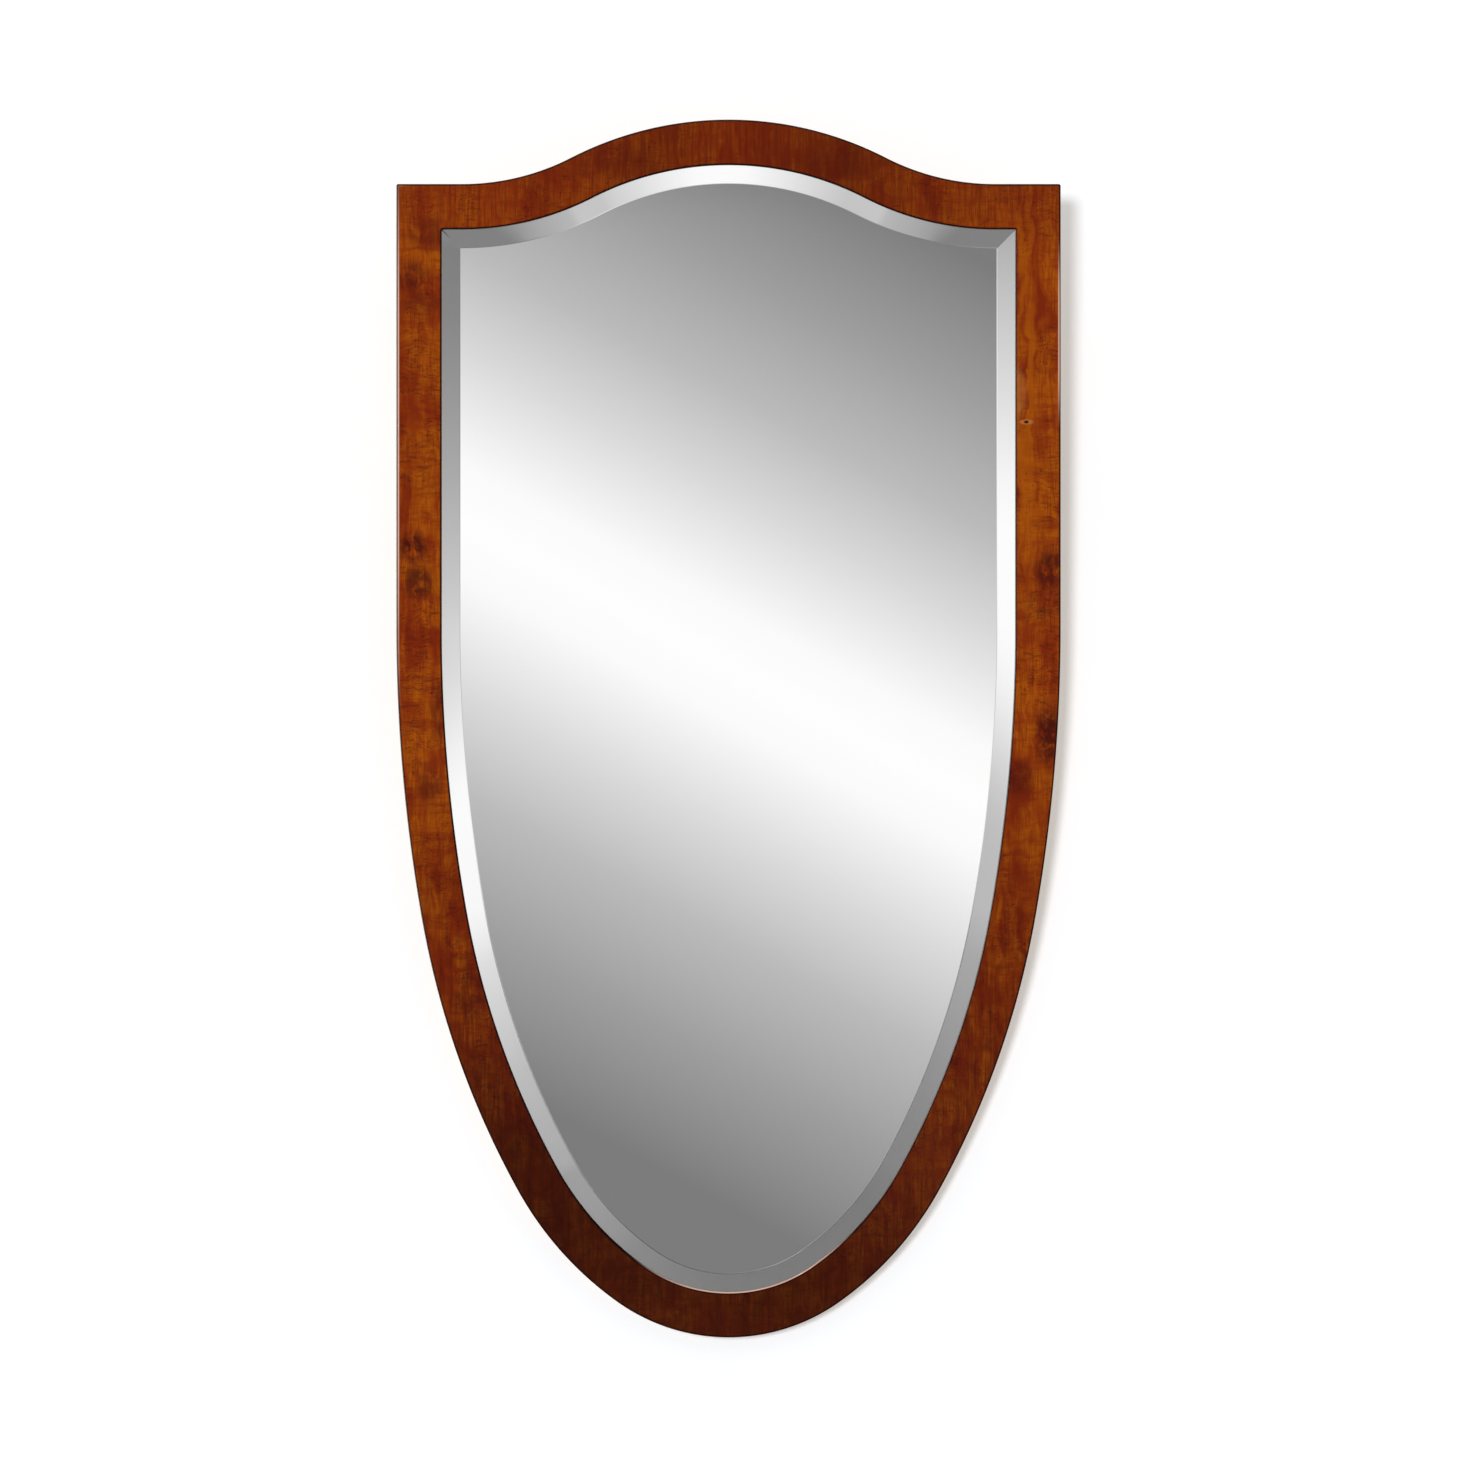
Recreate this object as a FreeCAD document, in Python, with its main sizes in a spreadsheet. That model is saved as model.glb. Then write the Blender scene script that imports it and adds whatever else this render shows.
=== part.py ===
import FreeCAD, Part
import os
import Sketcher

# Shield mirror: a veneered pine frame round a bevelled plate, with a pine back and two ring hangers.
# The face looks along -Y, the wall is the plane y = 0, and z = 0 is the line through the two ring pivots.

SIZES = [
    # outline of the frame
    ("overall_width", 600, "outside width"),
    ("overall_height", 1100, "from the point to the top of the dome"),
    ("crest_rise", 58.2, "dome above the shoulders"),
    ("crest_radius_share", 0.5896, "dome's part of the sum of the dome's and the hollow's radii"),
    ("shoulder_run", 1.7, "flat of the shoulder inside the corner of the plate's flat face"),
    ("band_width", 41, "width of the frame's face"),
    # lower outline, as four arcs from the point up to the straight side
    ("tip_turn_share", 35.46, "turn of the arc at the point"),
    ("flank_turn_share", 25.61, "turn of the arc next to it"),
    ("bilge_turn_share", 18.88, "turn of the third arc"),
    ("upper_turn_share", 10.05, "turn of the arc that meets the side"),
    ("tip_reach_share", 0.3346, "part of the half width that the arc at the point covers"),
    ("flank_reach_share", 0.2993, "part that the next arc covers"),
    ("bilge_reach_share", 0.2892, "part that the third arc covers"),
    ("upper_reach_share", 0.0769, "part that the last arc covers"),
    # section of the frame
    ("standoff", 6, "back of the frame in front of the wall"),
    ("ground_depth", 20, "pine of the frame, front to back"),
    ("veneer", 1, "thickness of the veneers"),
    ("arris_radius", 0.8, "eased front edges of the face veneer"),
    ("lip_depth", 6, "pine of the lip in front of the rabbet"),
    ("rabbet_width", 8, "rabbet, from the sight edge outwards"),
    ("lap_length", 40, "overlap of the halved joints"),
    # mirror plate
    ("plate_play", 1.5, "gap between the plate's edge and the rabbet"),
    ("plate_thickness", 6, "glass"),
    ("bevel_width", 23, "bevel, from the plate's edge inwards"),
    ("bevel_drop", 3, "glass taken off at the plate's edge"),
    ("plate_seat_gap", 0.2, "gap between the bevel and the back of the lip"),
    ("silvering_thickness", 0.2, "silver, copper and paint"),
    # glazing blocks
    ("block_length", 36, "along the outline"),
    ("block_height", 7.5, "from the plate backwards"),
    ("block_chamfer", 5, "free corner taken off"),
    # backboard
    ("board_lap", 8, "backboard over the wood beside the rabbet"),
    ("board_thickness", 4, "pine boards"),
    ("board_screw_length", 15, "under the face of the board"),
    # countersunk screws
    ("screw_diameter", 3, "shank"),
    ("screw_head_diameter", 5.6, "countersunk head"),
    ("screw_head_depth", 1.5, "countersunk head"),
    ("screw_point_length", 3, "point of the shank"),
    ("screw_slot_width", 0.8, "slot"),
    ("screw_slot_depth", 0.6, "slot"),
    ("screw_fit", 0.05, "clearance round a screw"),
    # strap hangers
    ("hanger_drop_share", 0.6475, "ring pivots below the shoulders, as a part of the straight side"),
    ("strap_thickness", 1, "brass strip"),
    ("strap_length", 38, "pivot to the lower end"),
    ("strap_corner_radius", 3, "lower corners"),
    ("curl_lift", 0.3, "curl raised off the frame"),
    ("strap_screw_length", 14, "under the face of the strap"),
    ("first_screw_drop", 9, "first screw below the pivot"),
    ("second_screw_drop", 28, "second screw below the pivot"),
    # rings
    ("wire_diameter", 2.8, "ring wire"),
    ("pivot_fit", 0.1, "clearance round the wire in the curl"),
    ("ring_edge_gap", 1.25, "ring, from the outside of the frame and from the backboard"),
    ("curl_end_gap", 0.6, "ends of the curl, from the bends of the wire"),
    ("ring_leg_drop", 5, "pivot to the middle of the round end"),
    ("ring_bend_radius", 2.5, "upper bends of the wire"),
    ("ring_seam", 0.2, "gap between the ends of the wire"),
    # bumpers
    ("bumper_diameter", 12, "rubber disc"),
    ("bumper_chamfer", 1, "rim on the wall side"),
]

# Values that follow from the sizes. The four lower arcs share a quarter turn and the half width, and the
# dome and the hollow meet where their tangents agree. Depths are measured from the wall to the front.
DERIVED = [
    ("half_width", "Sizes.overall_width / 2"),
    ("turn_total",
     "Sizes.tip_turn_share + Sizes.flank_turn_share + Sizes.bilge_turn_share + Sizes.upper_turn_share"),
    ("reach_total",
     "Sizes.tip_reach_share + Sizes.flank_reach_share + Sizes.bilge_reach_share + Sizes.upper_reach_share"),
    ("tip_angle", "90 deg * Sizes.tip_turn_share / Outline.turn_total"),
    ("flank_angle", "Outline.tip_angle + 90 deg * Sizes.flank_turn_share / Outline.turn_total"),
    ("bilge_angle", "Outline.flank_angle + 90 deg * Sizes.bilge_turn_share / Outline.turn_total"),
    ("upper_angle", "90 deg"),
    ("reach_unit", "Outline.half_width / Outline.reach_total"),
    ("tip_radius", "Outline.reach_unit * Sizes.tip_reach_share / sin(Outline.tip_angle)"),
    ("flank_radius", "Outline.reach_unit * Sizes.flank_reach_share"
     " / (sin(Outline.flank_angle) - sin(Outline.tip_angle))"),
    ("bilge_radius", "Outline.reach_unit * Sizes.bilge_reach_share"
     " / (sin(Outline.bilge_angle) - sin(Outline.flank_angle))"),
    ("upper_radius", "Outline.reach_unit * Sizes.upper_reach_share"
     " / (sin(Outline.upper_angle) - sin(Outline.bilge_angle))"),
    ("lower_rise", "Outline.tip_radius - (Outline.tip_radius - Outline.flank_radius) * cos(Outline.tip_angle)"
     " - (Outline.flank_radius - Outline.bilge_radius) * cos(Outline.flank_angle)"
     " - (Outline.bilge_radius - Outline.upper_radius) * cos(Outline.bilge_angle)"),
    ("side_run", "Sizes.overall_height - Sizes.crest_rise - Outline.lower_rise"),
    ("shoulder_z", "Outline.side_run * Sizes.hanger_drop_share"),
    ("top_z", "Outline.shoulder_z + Sizes.crest_rise"),
    ("tip_x", "0"),
    ("tip_z", "Outline.top_z - Sizes.overall_height + Outline.tip_radius"),
    ("flank_x", "Outline.tip_x + (Outline.tip_radius - Outline.flank_radius) * sin(Outline.tip_angle)"),
    ("flank_z", "Outline.tip_z - (Outline.tip_radius - Outline.flank_radius) * cos(Outline.tip_angle)"),
    ("bilge_x", "Outline.flank_x + (Outline.flank_radius - Outline.bilge_radius) * sin(Outline.flank_angle)"),
    ("bilge_z", "Outline.flank_z - (Outline.flank_radius - Outline.bilge_radius) * cos(Outline.flank_angle)"),
    ("upper_x", "Outline.bilge_x + (Outline.bilge_radius - Outline.upper_radius) * sin(Outline.bilge_angle)"),
    ("upper_z", "Outline.bilge_z - (Outline.bilge_radius - Outline.upper_radius) * cos(Outline.bilge_angle)"),
    ("ground_outside", "Sizes.veneer"),
    ("ground_inside", "Sizes.band_width - Sizes.veneer"),
    ("rabbet_inset", "Sizes.band_width - Sizes.rabbet_width"),
    ("board_inset", "Outline.rabbet_inset - Sizes.board_lap"),
    ("board_screw_inset", "Outline.rabbet_inset - Sizes.board_lap / 2"),
    ("hanger_inset", "Outline.board_inset / 2"),
    ("plate_inset", "Outline.rabbet_inset + Sizes.plate_play"),
    ("flat_inset", "Outline.plate_inset + Sizes.bevel_width"),
    ("hollow_x", "Outline.half_width - Outline.flat_inset - Sizes.shoulder_run"),
    ("radii_sum", "(Outline.hollow_x ^ 2 + Sizes.crest_rise ^ 2) / (2 * Sizes.crest_rise)"),
    ("crest_radius", "Outline.radii_sum * Sizes.crest_radius_share"),
    ("hollow_radius", "Outline.radii_sum - Outline.crest_radius"),
    ("hollow_z", "Outline.shoulder_z + Outline.hollow_radius"),
    ("crest_x", "0"),
    ("crest_z", "Outline.top_z - Outline.crest_radius"),
    ("crest_angle", "asin(Outline.hollow_x / Outline.radii_sum)"),
    ("flank_run", "Outline.flank_radius * (Outline.flank_angle - Outline.tip_angle) / 1 rad"),
    ("bilge_run", "Outline.bilge_radius * (Outline.bilge_angle - Outline.flank_angle) / 1 rad"),
    ("upper_run", "Outline.upper_radius * (Outline.upper_angle - Outline.bilge_angle) / 1 rad"),
    ("tip_run", "Outline.tip_radius * Outline.tip_angle / 1 rad"),
    ("hollow_run", "Outline.hollow_radius * Outline.crest_angle / 1 rad"),
    ("crest_run", "Outline.crest_radius * Outline.crest_angle / 1 rad"),
    ("ground_front", "Sizes.standoff + Sizes.ground_depth"),
    ("lip_back", "Outline.ground_front - Sizes.lip_depth"),
    ("bevel_at_lip", "Sizes.bevel_drop * (Sizes.band_width - Outline.plate_inset) / Sizes.bevel_width"),
    ("plate_front", "Outline.lip_back + Sizes.bevel_drop - Outline.bevel_at_lip - Sizes.plate_seat_gap"),
    ("plate_back", "Outline.plate_front - Sizes.plate_thickness"),
    ("silvering_back", "Outline.plate_back - Sizes.silvering_thickness"),
    ("block_back", "Outline.silvering_back - Sizes.block_height"),
    ("board_back", "Sizes.standoff - Sizes.board_thickness"),
    ("board_split_x", "(Outline.tip_radius - Outline.board_inset) * sin(Outline.tip_angle)"),
    ("head_angle", "2 * atan((Sizes.screw_head_diameter - Sizes.screw_diameter)"
     " / (2 * Sizes.screw_head_depth))"),
    ("curl_bore", "Sizes.wire_diameter / 2 + Sizes.pivot_fit"),
    ("pivot_rise", "Sizes.strap_thickness + Outline.curl_bore + Sizes.curl_lift"),
    ("hanger_x", "Outline.half_width - Outline.hanger_inset"),
    ("ring_half_width", "Outline.hanger_inset - Sizes.ring_edge_gap - Sizes.wire_diameter / 2"),
    ("strap_width", "2 * (Outline.ring_half_width - Sizes.ring_bend_radius - Sizes.curl_end_gap)"),
]

SAME_POINT = 1e-6
SAME_SPOT = 1e-4

doc = FreeCAD.newDocument("ShieldMirror")
sheet = doc.addObject("Spreadsheet::Sheet", "Sizes")
for row, (alias, number, note) in enumerate(SIZES, start=1):
    sheet.set(f"A{row}", alias)
    sheet.set(f"B{row}", str(number))
    sheet.set(f"C{row}", note)
    sheet.setAlias(f"B{row}", alias)
doc.recompute()

values = doc.addObject("App::VarSet", "Outline")
for name, expression in DERIVED:
    kind = "App::PropertyAngle" if name.endswith("_angle") else "App::PropertyFloat"
    values.addProperty(kind, name)
    values.setExpression(name, expression)
doc.recompute()


def measure(expression):
    """The plain number that an expression gives with the present sizes."""
    found = sheet.evalExpression(expression)
    return float(getattr(found, "Value", found))


# The outline runs from the point of the shield up one side to the middle of the dome. An arc is given by its
# first and last angle, the side of its centre on which it lies across and upwards, and what an inset does to
# its radius.
ARCS = {
    "tip": ("0 deg", "Outline.tip_angle", 1, -1, -1),
    "flank": ("Outline.tip_angle", "Outline.flank_angle", 1, -1, -1),
    "bilge": ("Outline.flank_angle", "Outline.bilge_angle", 1, -1, -1),
    "upper": ("Outline.bilge_angle", "Outline.upper_angle", 1, -1, -1),
    "hollow": ("0 deg", "Outline.crest_angle", -1, -1, 1),
    "crest": ("Outline.crest_angle", "0 deg", 1, 1, -1),
}


def arc_radius(run, inset):
    """Radius of an arc of the outline, moved inwards by an inset."""
    return f"(Outline.{run}_radius + {ARCS[run][4]} * ({inset}))"


def point(run, share, side, inset):
    """The outline's point at a share of a run, on one side, moved inwards by an inset."""
    if callable(share):
        share = share(inset)
    if run == "side":
        x = f"Outline.half_width - ({inset})"
        z = f"Outline.upper_z + ({share}) * (Outline.side_run - ({inset}))"
    elif run == "shoulder":
        corner = f"(Outline.half_width - ({inset}))"
        x = f"{corner} + ({share}) * (Outline.hollow_x - {corner})"
        z = f"Outline.shoulder_z - ({inset})"
    else:
        first, last, outward, upward, _ = ARCS[run]
        angle = f"({first} + ({share}) * ({last} - {first}))"
        x = f"Outline.{run}_x + {outward} * {arc_radius(run, inset)} * sin({angle})"
        z = f"Outline.{run}_z + {upward} * {arc_radius(run, inset)} * cos({angle})"
    return f"{side} * ({x})", z


def side_level(height):
    """Share of the straight side at which it reaches a height."""
    return lambda inset: f"(({height}) - Outline.upper_z) / (Outline.side_run - ({inset}))"


def rail_end(cut):
    """Share of the shoulder at which it crosses an upright line, a cut inwards from the side."""
    return lambda inset: (f"(({cut}) - ({inset}))"
                          f" / (Outline.half_width - ({inset}) - Outline.hollow_x)")


def one_side(runs, side):
    """A path along one side, from its lower end to its upper end."""
    return [(run, (first, side), (last, side)) for run, first, last in runs]


def across(runs):
    """A path over both sides; the runs start at the middle and go outwards to the right."""
    middle, _, away = runs[0]
    left = [(run, (last, -1), (first, -1)) for run, first, last in reversed(runs[1:])]
    return left + [(middle, (away, -1), (away, 1))] + one_side(runs[1:], 1)


def at_inset(path, inset):
    """The legs of a path, each with its inset."""
    return [(run, start, end, inset) for run, start, end in path]


def backwards(path):
    """The same path, walked the other way."""
    return [(run, end, start) for run, start, end in reversed(path)]


def together(one, other):
    """Whether two corners are the same point."""
    return all(abs(measure(a) - measure(b)) < SAME_POINT for a, b in zip(one[:2], other[:2]))


def outline(legs):
    """Corners of a closed profile; legs that do not meet are joined by a straight cut."""
    corners = []
    for run, start, end, inset in legs:
        begin = point(run, *start, inset)
        finish = point(run, *end, inset)
        arc = None
        if run in ARCS:
            side = start[1]
            arc = (f"{side} * Outline.{run}_x", f"Outline.{run}_z", arc_radius(run, inset))
        if corners and together(corners[-1], begin):
            corners.pop()
        corners.append((*begin, arc))
        corners.append((*finish, None))
    if together(corners[-1], corners[0]):
        corners.pop()
    return corners


def band(outer_path, outer_inset, inner_path, inner_inset):
    """Profile between two insets, with straight cuts at its ends."""
    return outline(at_inset(outer_path, outer_inset) + at_inset(backwards(inner_path), inner_inset))


def new_body(name):
    """A body whose label names its file."""
    body = doc.addObject("PartDesign::Body", name)
    body.Label = name
    return body


def new_sketch(body, plane_role, offset):
    """A sketch in one of the body's own planes, moved along its normal."""
    sketch = body.newObject("Sketcher::SketchObject", f"{body.Name}_sketch")
    plane = next(item for item in body.Origin.OriginFeatures if item.Role == plane_role)
    sketch.AttachmentSupport = [(plane, "")]
    sketch.MapMode = "FlatFace"
    sketch.setExpression("AttachmentOffset.Base.z", offset)
    return sketch


def bind(sketch, kind, *items):
    """Add a constraint whose last item is the expression that drives it."""
    index = sketch.addConstraint(Sketcher.Constraint(kind, *items[:-1], measure(items[-1])))
    sketch.setExpression(f"Constraints[{index}]", items[-1])


def arc_between(start, end, centre, radius):
    """The lesser arc between two points, and whether it runs backwards."""
    circle = Part.Circle(centre, FreeCAD.Vector(0, 0, 1), radius)
    first = circle.parameter(start)
    last = circle.parameter(end)
    turn = (last - first) % circle.LastParameter
    if turn < circle.LastParameter / 2:
        return Part.ArcOfCircle(circle, first, first + turn), False
    return Part.ArcOfCircle(circle, last, last + circle.LastParameter - turn), True


def draw(sketch, corners, closed=True):
    """Draw a chain of lines and arcs through corners, each bound to its expressions."""
    places = [FreeCAD.Vector(measure(x), measure(z), 0) for x, z, _ in corners]
    ends = []
    count = len(corners) if closed else len(corners) - 1
    for number in range(count):
        start = places[number]
        end = places[(number + 1) % len(corners)]
        arc = corners[number][2]
        if arc is None:
            edge, reverse = Part.LineSegment(start, end), False
        else:
            centre = FreeCAD.Vector(measure(arc[0]), measure(arc[1]), 0)
            edge, reverse = arc_between(start, end, centre, measure(arc[2]))
        index = sketch.addGeometry(edge, False)
        ends.append((index, 2 if reverse else 1, 1 if reverse else 2))
    for number, (index, first, last) in enumerate(ends):
        bind(sketch, "DistanceX", index, first, corners[number][0])
        bind(sketch, "DistanceY", index, first, corners[number][1])
        if corners[number][2] is not None:
            bind(sketch, "Radius", index, corners[number][2][2])
        if closed or number + 1 < count:
            following = ends[(number + 1) % count]
            sketch.addConstraint(Sketcher.Constraint("Coincident", index, last, following[0], following[1]))
        else:
            bind(sketch, "DistanceX", index, last, corners[-1][0])
            bind(sketch, "DistanceY", index, last, corners[-1][1])


def draw_circles(sketch, places, diameter):
    """Draw a circle of one diameter at each place."""
    for x, z in places:
        centre = FreeCAD.Vector(measure(x), measure(z), 0)
        circle = Part.Circle(centre, FreeCAD.Vector(0, 0, 1), measure(diameter) / 2)
        index = sketch.addGeometry(circle, False)
        bind(sketch, "DistanceX", index, 3, x)
        bind(sketch, "DistanceY", index, 3, z)
        bind(sketch, "Diameter", index, diameter)


def feature(body, kind, profile):
    """A feature of the body made from a sketch."""
    made = body.newObject(f"PartDesign::{kind}", f"{body.Name}_{kind}")
    made.Profile = profile
    return made


def pad(body, profiles, rear, thickness):
    """Pad closed profiles forwards from their depth in front of the wall."""
    sketch = new_sketch(body, "XZ_Plane", rear)
    for corners in profiles:
        draw(sketch, corners)
    made = feature(body, "Pad", sketch)
    made.setExpression("Length", thickness)
    return made


def screw_holes(body, places, head, length):
    """Countersunk holes for screws whose heads lie at a depth in front of the wall, as far as they reach."""
    sketch = new_sketch(body, "XZ_Plane", head)
    draw_circles(sketch, places, BORE)
    before = body.Tip
    doc.recompute()
    made = feature(body, "Hole", sketch)
    made.Reversed = True
    made.DepthType = "Dimension"
    made.DrillPoint = "Flat"
    made.HoleCutType = "Countersink"
    made.HoleCutCustomValues = True
    made.setExpression("Diameter", BORE)
    made.setExpression("Depth", f"{length} + Sizes.screw_fit")
    made.setExpression("HoleCutDiameter", "Sizes.screw_head_diameter + 2 * Sizes.screw_fit")
    made.setExpression("HoleCutCountersinkAngle", "Outline.head_angle")
    doc.recompute()
    assert made.Shape.Volume < before.Shape.Volume, f"{body.Label}: the holes cut nothing"


def profile_edges(shape, corners, numbers, depth):
    """Names of a pad's edges at a depth in front of the wall, over numbered edges of its profile."""
    spots = [FreeCAD.Vector(measure(x), -measure(depth), measure(z)) for x, z, _ in corners]
    names = []
    for number in numbers:
        ends = (spots[number], spots[(number + 1) % len(spots)])
        for index, edge in enumerate(shape.Edges, start=1):
            found = [vertex.Point for vertex in edge.Vertexes]
            if all(min(spot.distanceToPoint(end) for spot in found) < SAME_SPOT for end in ends):
                names.append(f"Edge{index}")
    return names


def dress(body, kind, base, names, **driven):
    """A fillet or a chamfer on named edges, with its sizes bound to expressions."""
    assert names, f"{body.Label}: no edge to work on"
    made = body.newObject(f"PartDesign::{kind}", f"{body.Name}_{kind}")
    made.Base = (base, names)
    for size, expression in driven.items():
        made.setExpression(size, expression)
    return made


BORE = "Sizes.screw_diameter + 2 * Sizes.screw_fit"
BACK = "Sizes.standoff"
BOARD_SCREW = ("Outline.board_back", "Sizes.board_screw_length")
STRAP_SCREW = ("Sizes.standoff - Sizes.strap_thickness", "Sizes.strap_screw_length")
HANDS = (("left", -1), ("right", 1))

TOP = [("crest", 1, 0), ("hollow", 1, 0), ("shoulder", 1, 0)]
DOME = TOP[:2]
SIDE = [("bilge", 0, 1), ("upper", 0, 1), ("side", 0, 1)]
LOWER = SIDE[:2]
BOTTOM = [("tip", 0, 1), ("flank", 0, 1)]
STILE = [("side", 0, 1)]
BILGE_LAP = "Sizes.lap_length / Outline.bilge_run"
SIDE_LAP = side_level("Outline.upper_z + Sizes.lap_length")
RABBET_TOP = side_level("Outline.shoulder_z - Outline.rabbet_inset")

# Screws of the backboard and glazing blocks on one side, each at a share of a run of the outline.
BOARD_SCREW_SHARES = [
    ("tip", 0.5), ("flank", 0.75), ("bilge", 0.45), ("upper", 0.1), ("upper", 0.8),
    ("side", 0.45), ("side", 0.95), ("hollow", 0.5), ("crest", 0.7),
]
BLOCK_SHARES = [
    ("flank", 0.4), ("bilge", 0.3), ("bilge", 0.85), ("upper", 0.6), ("side", 0.25), ("side", 0.75),
    ("hollow", 0.4),
]
BUMPER_RUN = "flank"
BUMPER_SHARE = 0.5


def board_screws(runs, side):
    """Places of the backboard's screws on some runs of one side."""
    return [point(run, share, side, "Outline.board_screw_inset")
            for run, share in BOARD_SCREW_SHARES if run in runs]


def strap_screws(side):
    """Places of one hanger's screws."""
    return [(f"{side} * Outline.hanger_x", f"-Sizes.{drop}_screw_drop") for drop in ("first", "second")]


def ground(name, front, rear):
    """A pine piece: a lip in front, and the wood beside the rabbet behind it."""
    body = new_body(name)
    pad(body, [front], "Outline.lip_back", "Sizes.lip_depth")
    pad(body, [rear], BACK, "Sizes.ground_depth - Sizes.lip_depth")
    return body


def lip(outer_path, inner_path):
    """Profile of the lip layer of a pine piece."""
    return band(outer_path, "Outline.ground_outside", inner_path, "Outline.ground_inside")


def stock(outer_path, inner_path):
    """Profile of the layer beside the rabbet of a pine piece."""
    return band(outer_path, "Outline.ground_outside", inner_path, "Outline.rabbet_inset")


# Top rail: its lip stops between the stiles, and the wood behind it runs over them to the corners.
rail_front = across(DOME + [("shoulder", 1, rail_end("Outline.ground_inside"))])
rail_rear = across(TOP + [("side", 1, RABBET_TOP)])
top_rail = ground("top_rail", lip(rail_front, rail_front), stock(rail_rear, across(DOME)))
rail_screws = [place for _, side in HANDS for place in board_screws(("hollow", "crest"), side)]
screw_holes(top_rail, rail_screws, *BOARD_SCREW)

# Bottom rib: cut from one board round the point, halved on to the lower ribs.
bottom_front = across(BOTTOM)
bottom_rear = across(BOTTOM + [("bilge", 0, BILGE_LAP)])
bottom_rib = ground("bottom_rib", lip(bottom_front, bottom_front), stock(bottom_rear, bottom_rear))
bottom_screws = [place for _, side in HANDS for place in board_screws(("tip", "flank"), side)]
screw_holes(bottom_rib, bottom_screws, *BOARD_SCREW)

for hand, side in HANDS:
    # Stile: its lip runs up to the top edge, and the wood behind it stops under the top rail.
    outer = one_side(STILE, side)
    inner = one_side([("side", 0, side_level("Outline.shoulder_z - Sizes.veneer"))], side)
    behind = one_side([("side", SIDE_LAP, RABBET_TOP)], side)
    stile = ground(f"{hand}_stile", lip(outer, inner), stock(behind, behind))
    screw_holes(stile, board_screws(("side",), side), *BOARD_SCREW)
    screw_holes(stile, strap_screws(side), *STRAP_SCREW)

    # Lower rib: halved at both ends, its lip down to the bottom rib and its back up behind the stile.
    outer = one_side(LOWER, side)
    behind = one_side([("bilge", BILGE_LAP, 1), ("upper", 0, 1), ("side", 0, SIDE_LAP)], side)
    lower_rib = ground(f"{hand}_lower_rib", lip(outer, outer), stock(behind, behind))
    screw_holes(lower_rib, board_screws(("bilge", "upper"), side), *BOARD_SCREW)


# Veneers. Each leaf is a path over the outline; leaves and edgings meet on the mitres and on radial cuts.
VENEER_PATHS = [
    ("top", across(TOP)),
    ("left_stile", one_side(STILE, -1)),
    ("right_stile", one_side(STILE, 1)),
    ("left_lower", one_side(LOWER, -1)),
    ("right_lower", one_side(LOWER, 1)),
    ("bottom", across(BOTTOM)),
]
EDGING_PATHS = [
    ("top", across(TOP)),
    ("left", one_side(SIDE, -1)),
    ("right", one_side(SIDE, 1)),
    ("bottom", across(BOTTOM)),
]

for place, path in VENEER_PATHS:
    # Face veneer: mahogany leaf over the whole band, its two long front edges eased.
    body = new_body(f"{place}_veneer")
    corners = band(path, "0", path, "Sizes.band_width")
    leaf = pad(body, [corners], "Outline.ground_front", "Sizes.veneer")
    doc.recompute()
    cuts = (len(path), len(corners) - 1)
    long_edges = [number for number in range(len(corners)) if number not in cuts]
    names = profile_edges(leaf.Shape, corners, long_edges, "Outline.ground_front + Sizes.veneer")
    dress(body, "Fillet", leaf, names, Radius="Sizes.arris_radius")

for place, path in EDGING_PATHS:
    # Edge veneer round the outside, behind the face veneer.
    body = new_body(f"{place}_edge_veneer")
    pad(body, [band(path, "0", path, "Outline.ground_outside")], BACK, "Sizes.ground_depth")

    # Edge veneer of the lip round the sight edge.
    body = new_body(f"{place}_sight_veneer")
    pad(body, [band(path, "Outline.ground_inside", path, "Sizes.band_width")],
        "Outline.lip_back", "Sizes.lip_depth")

# Mirror plate: float glass with a flat face, ground down round its edge to an even bevel.
ROUND = across(BOTTOM) + one_side(SIDE + [("shoulder", 0, 1), ("hollow", 0, 1)], 1)
ROUND += [("crest", (0, 1), (0, -1))]
ROUND += backwards(one_side(SIDE + [("shoulder", 0, 1), ("hollow", 0, 1)], -1))
mirror_plate = new_body("mirror_plate")
edge = outline(at_inset(ROUND, "Outline.plate_inset"))
flat = outline(at_inset(ROUND, "Outline.flat_inset"))
pad(mirror_plate, [edge], "Outline.plate_back", "Sizes.plate_thickness - Sizes.bevel_drop")
bevel_start = new_sketch(mirror_plate, "XZ_Plane", "Outline.plate_front - Sizes.bevel_drop")
draw(bevel_start, edge)
bevel_end = new_sketch(mirror_plate, "XZ_Plane", "Outline.plate_front")
draw(bevel_end, flat)
bevel = feature(mirror_plate, "AdditiveLoft", bevel_start)
bevel.Sections = [bevel_end]
bevel.Ruled = True

# Silvering: silver, copper and backing paint, as one thin coat over the back of the plate.
silvering = new_body("silvering")
pad(silvering, [edge], "Outline.silvering_back", "Sizes.silvering_thickness")

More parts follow.
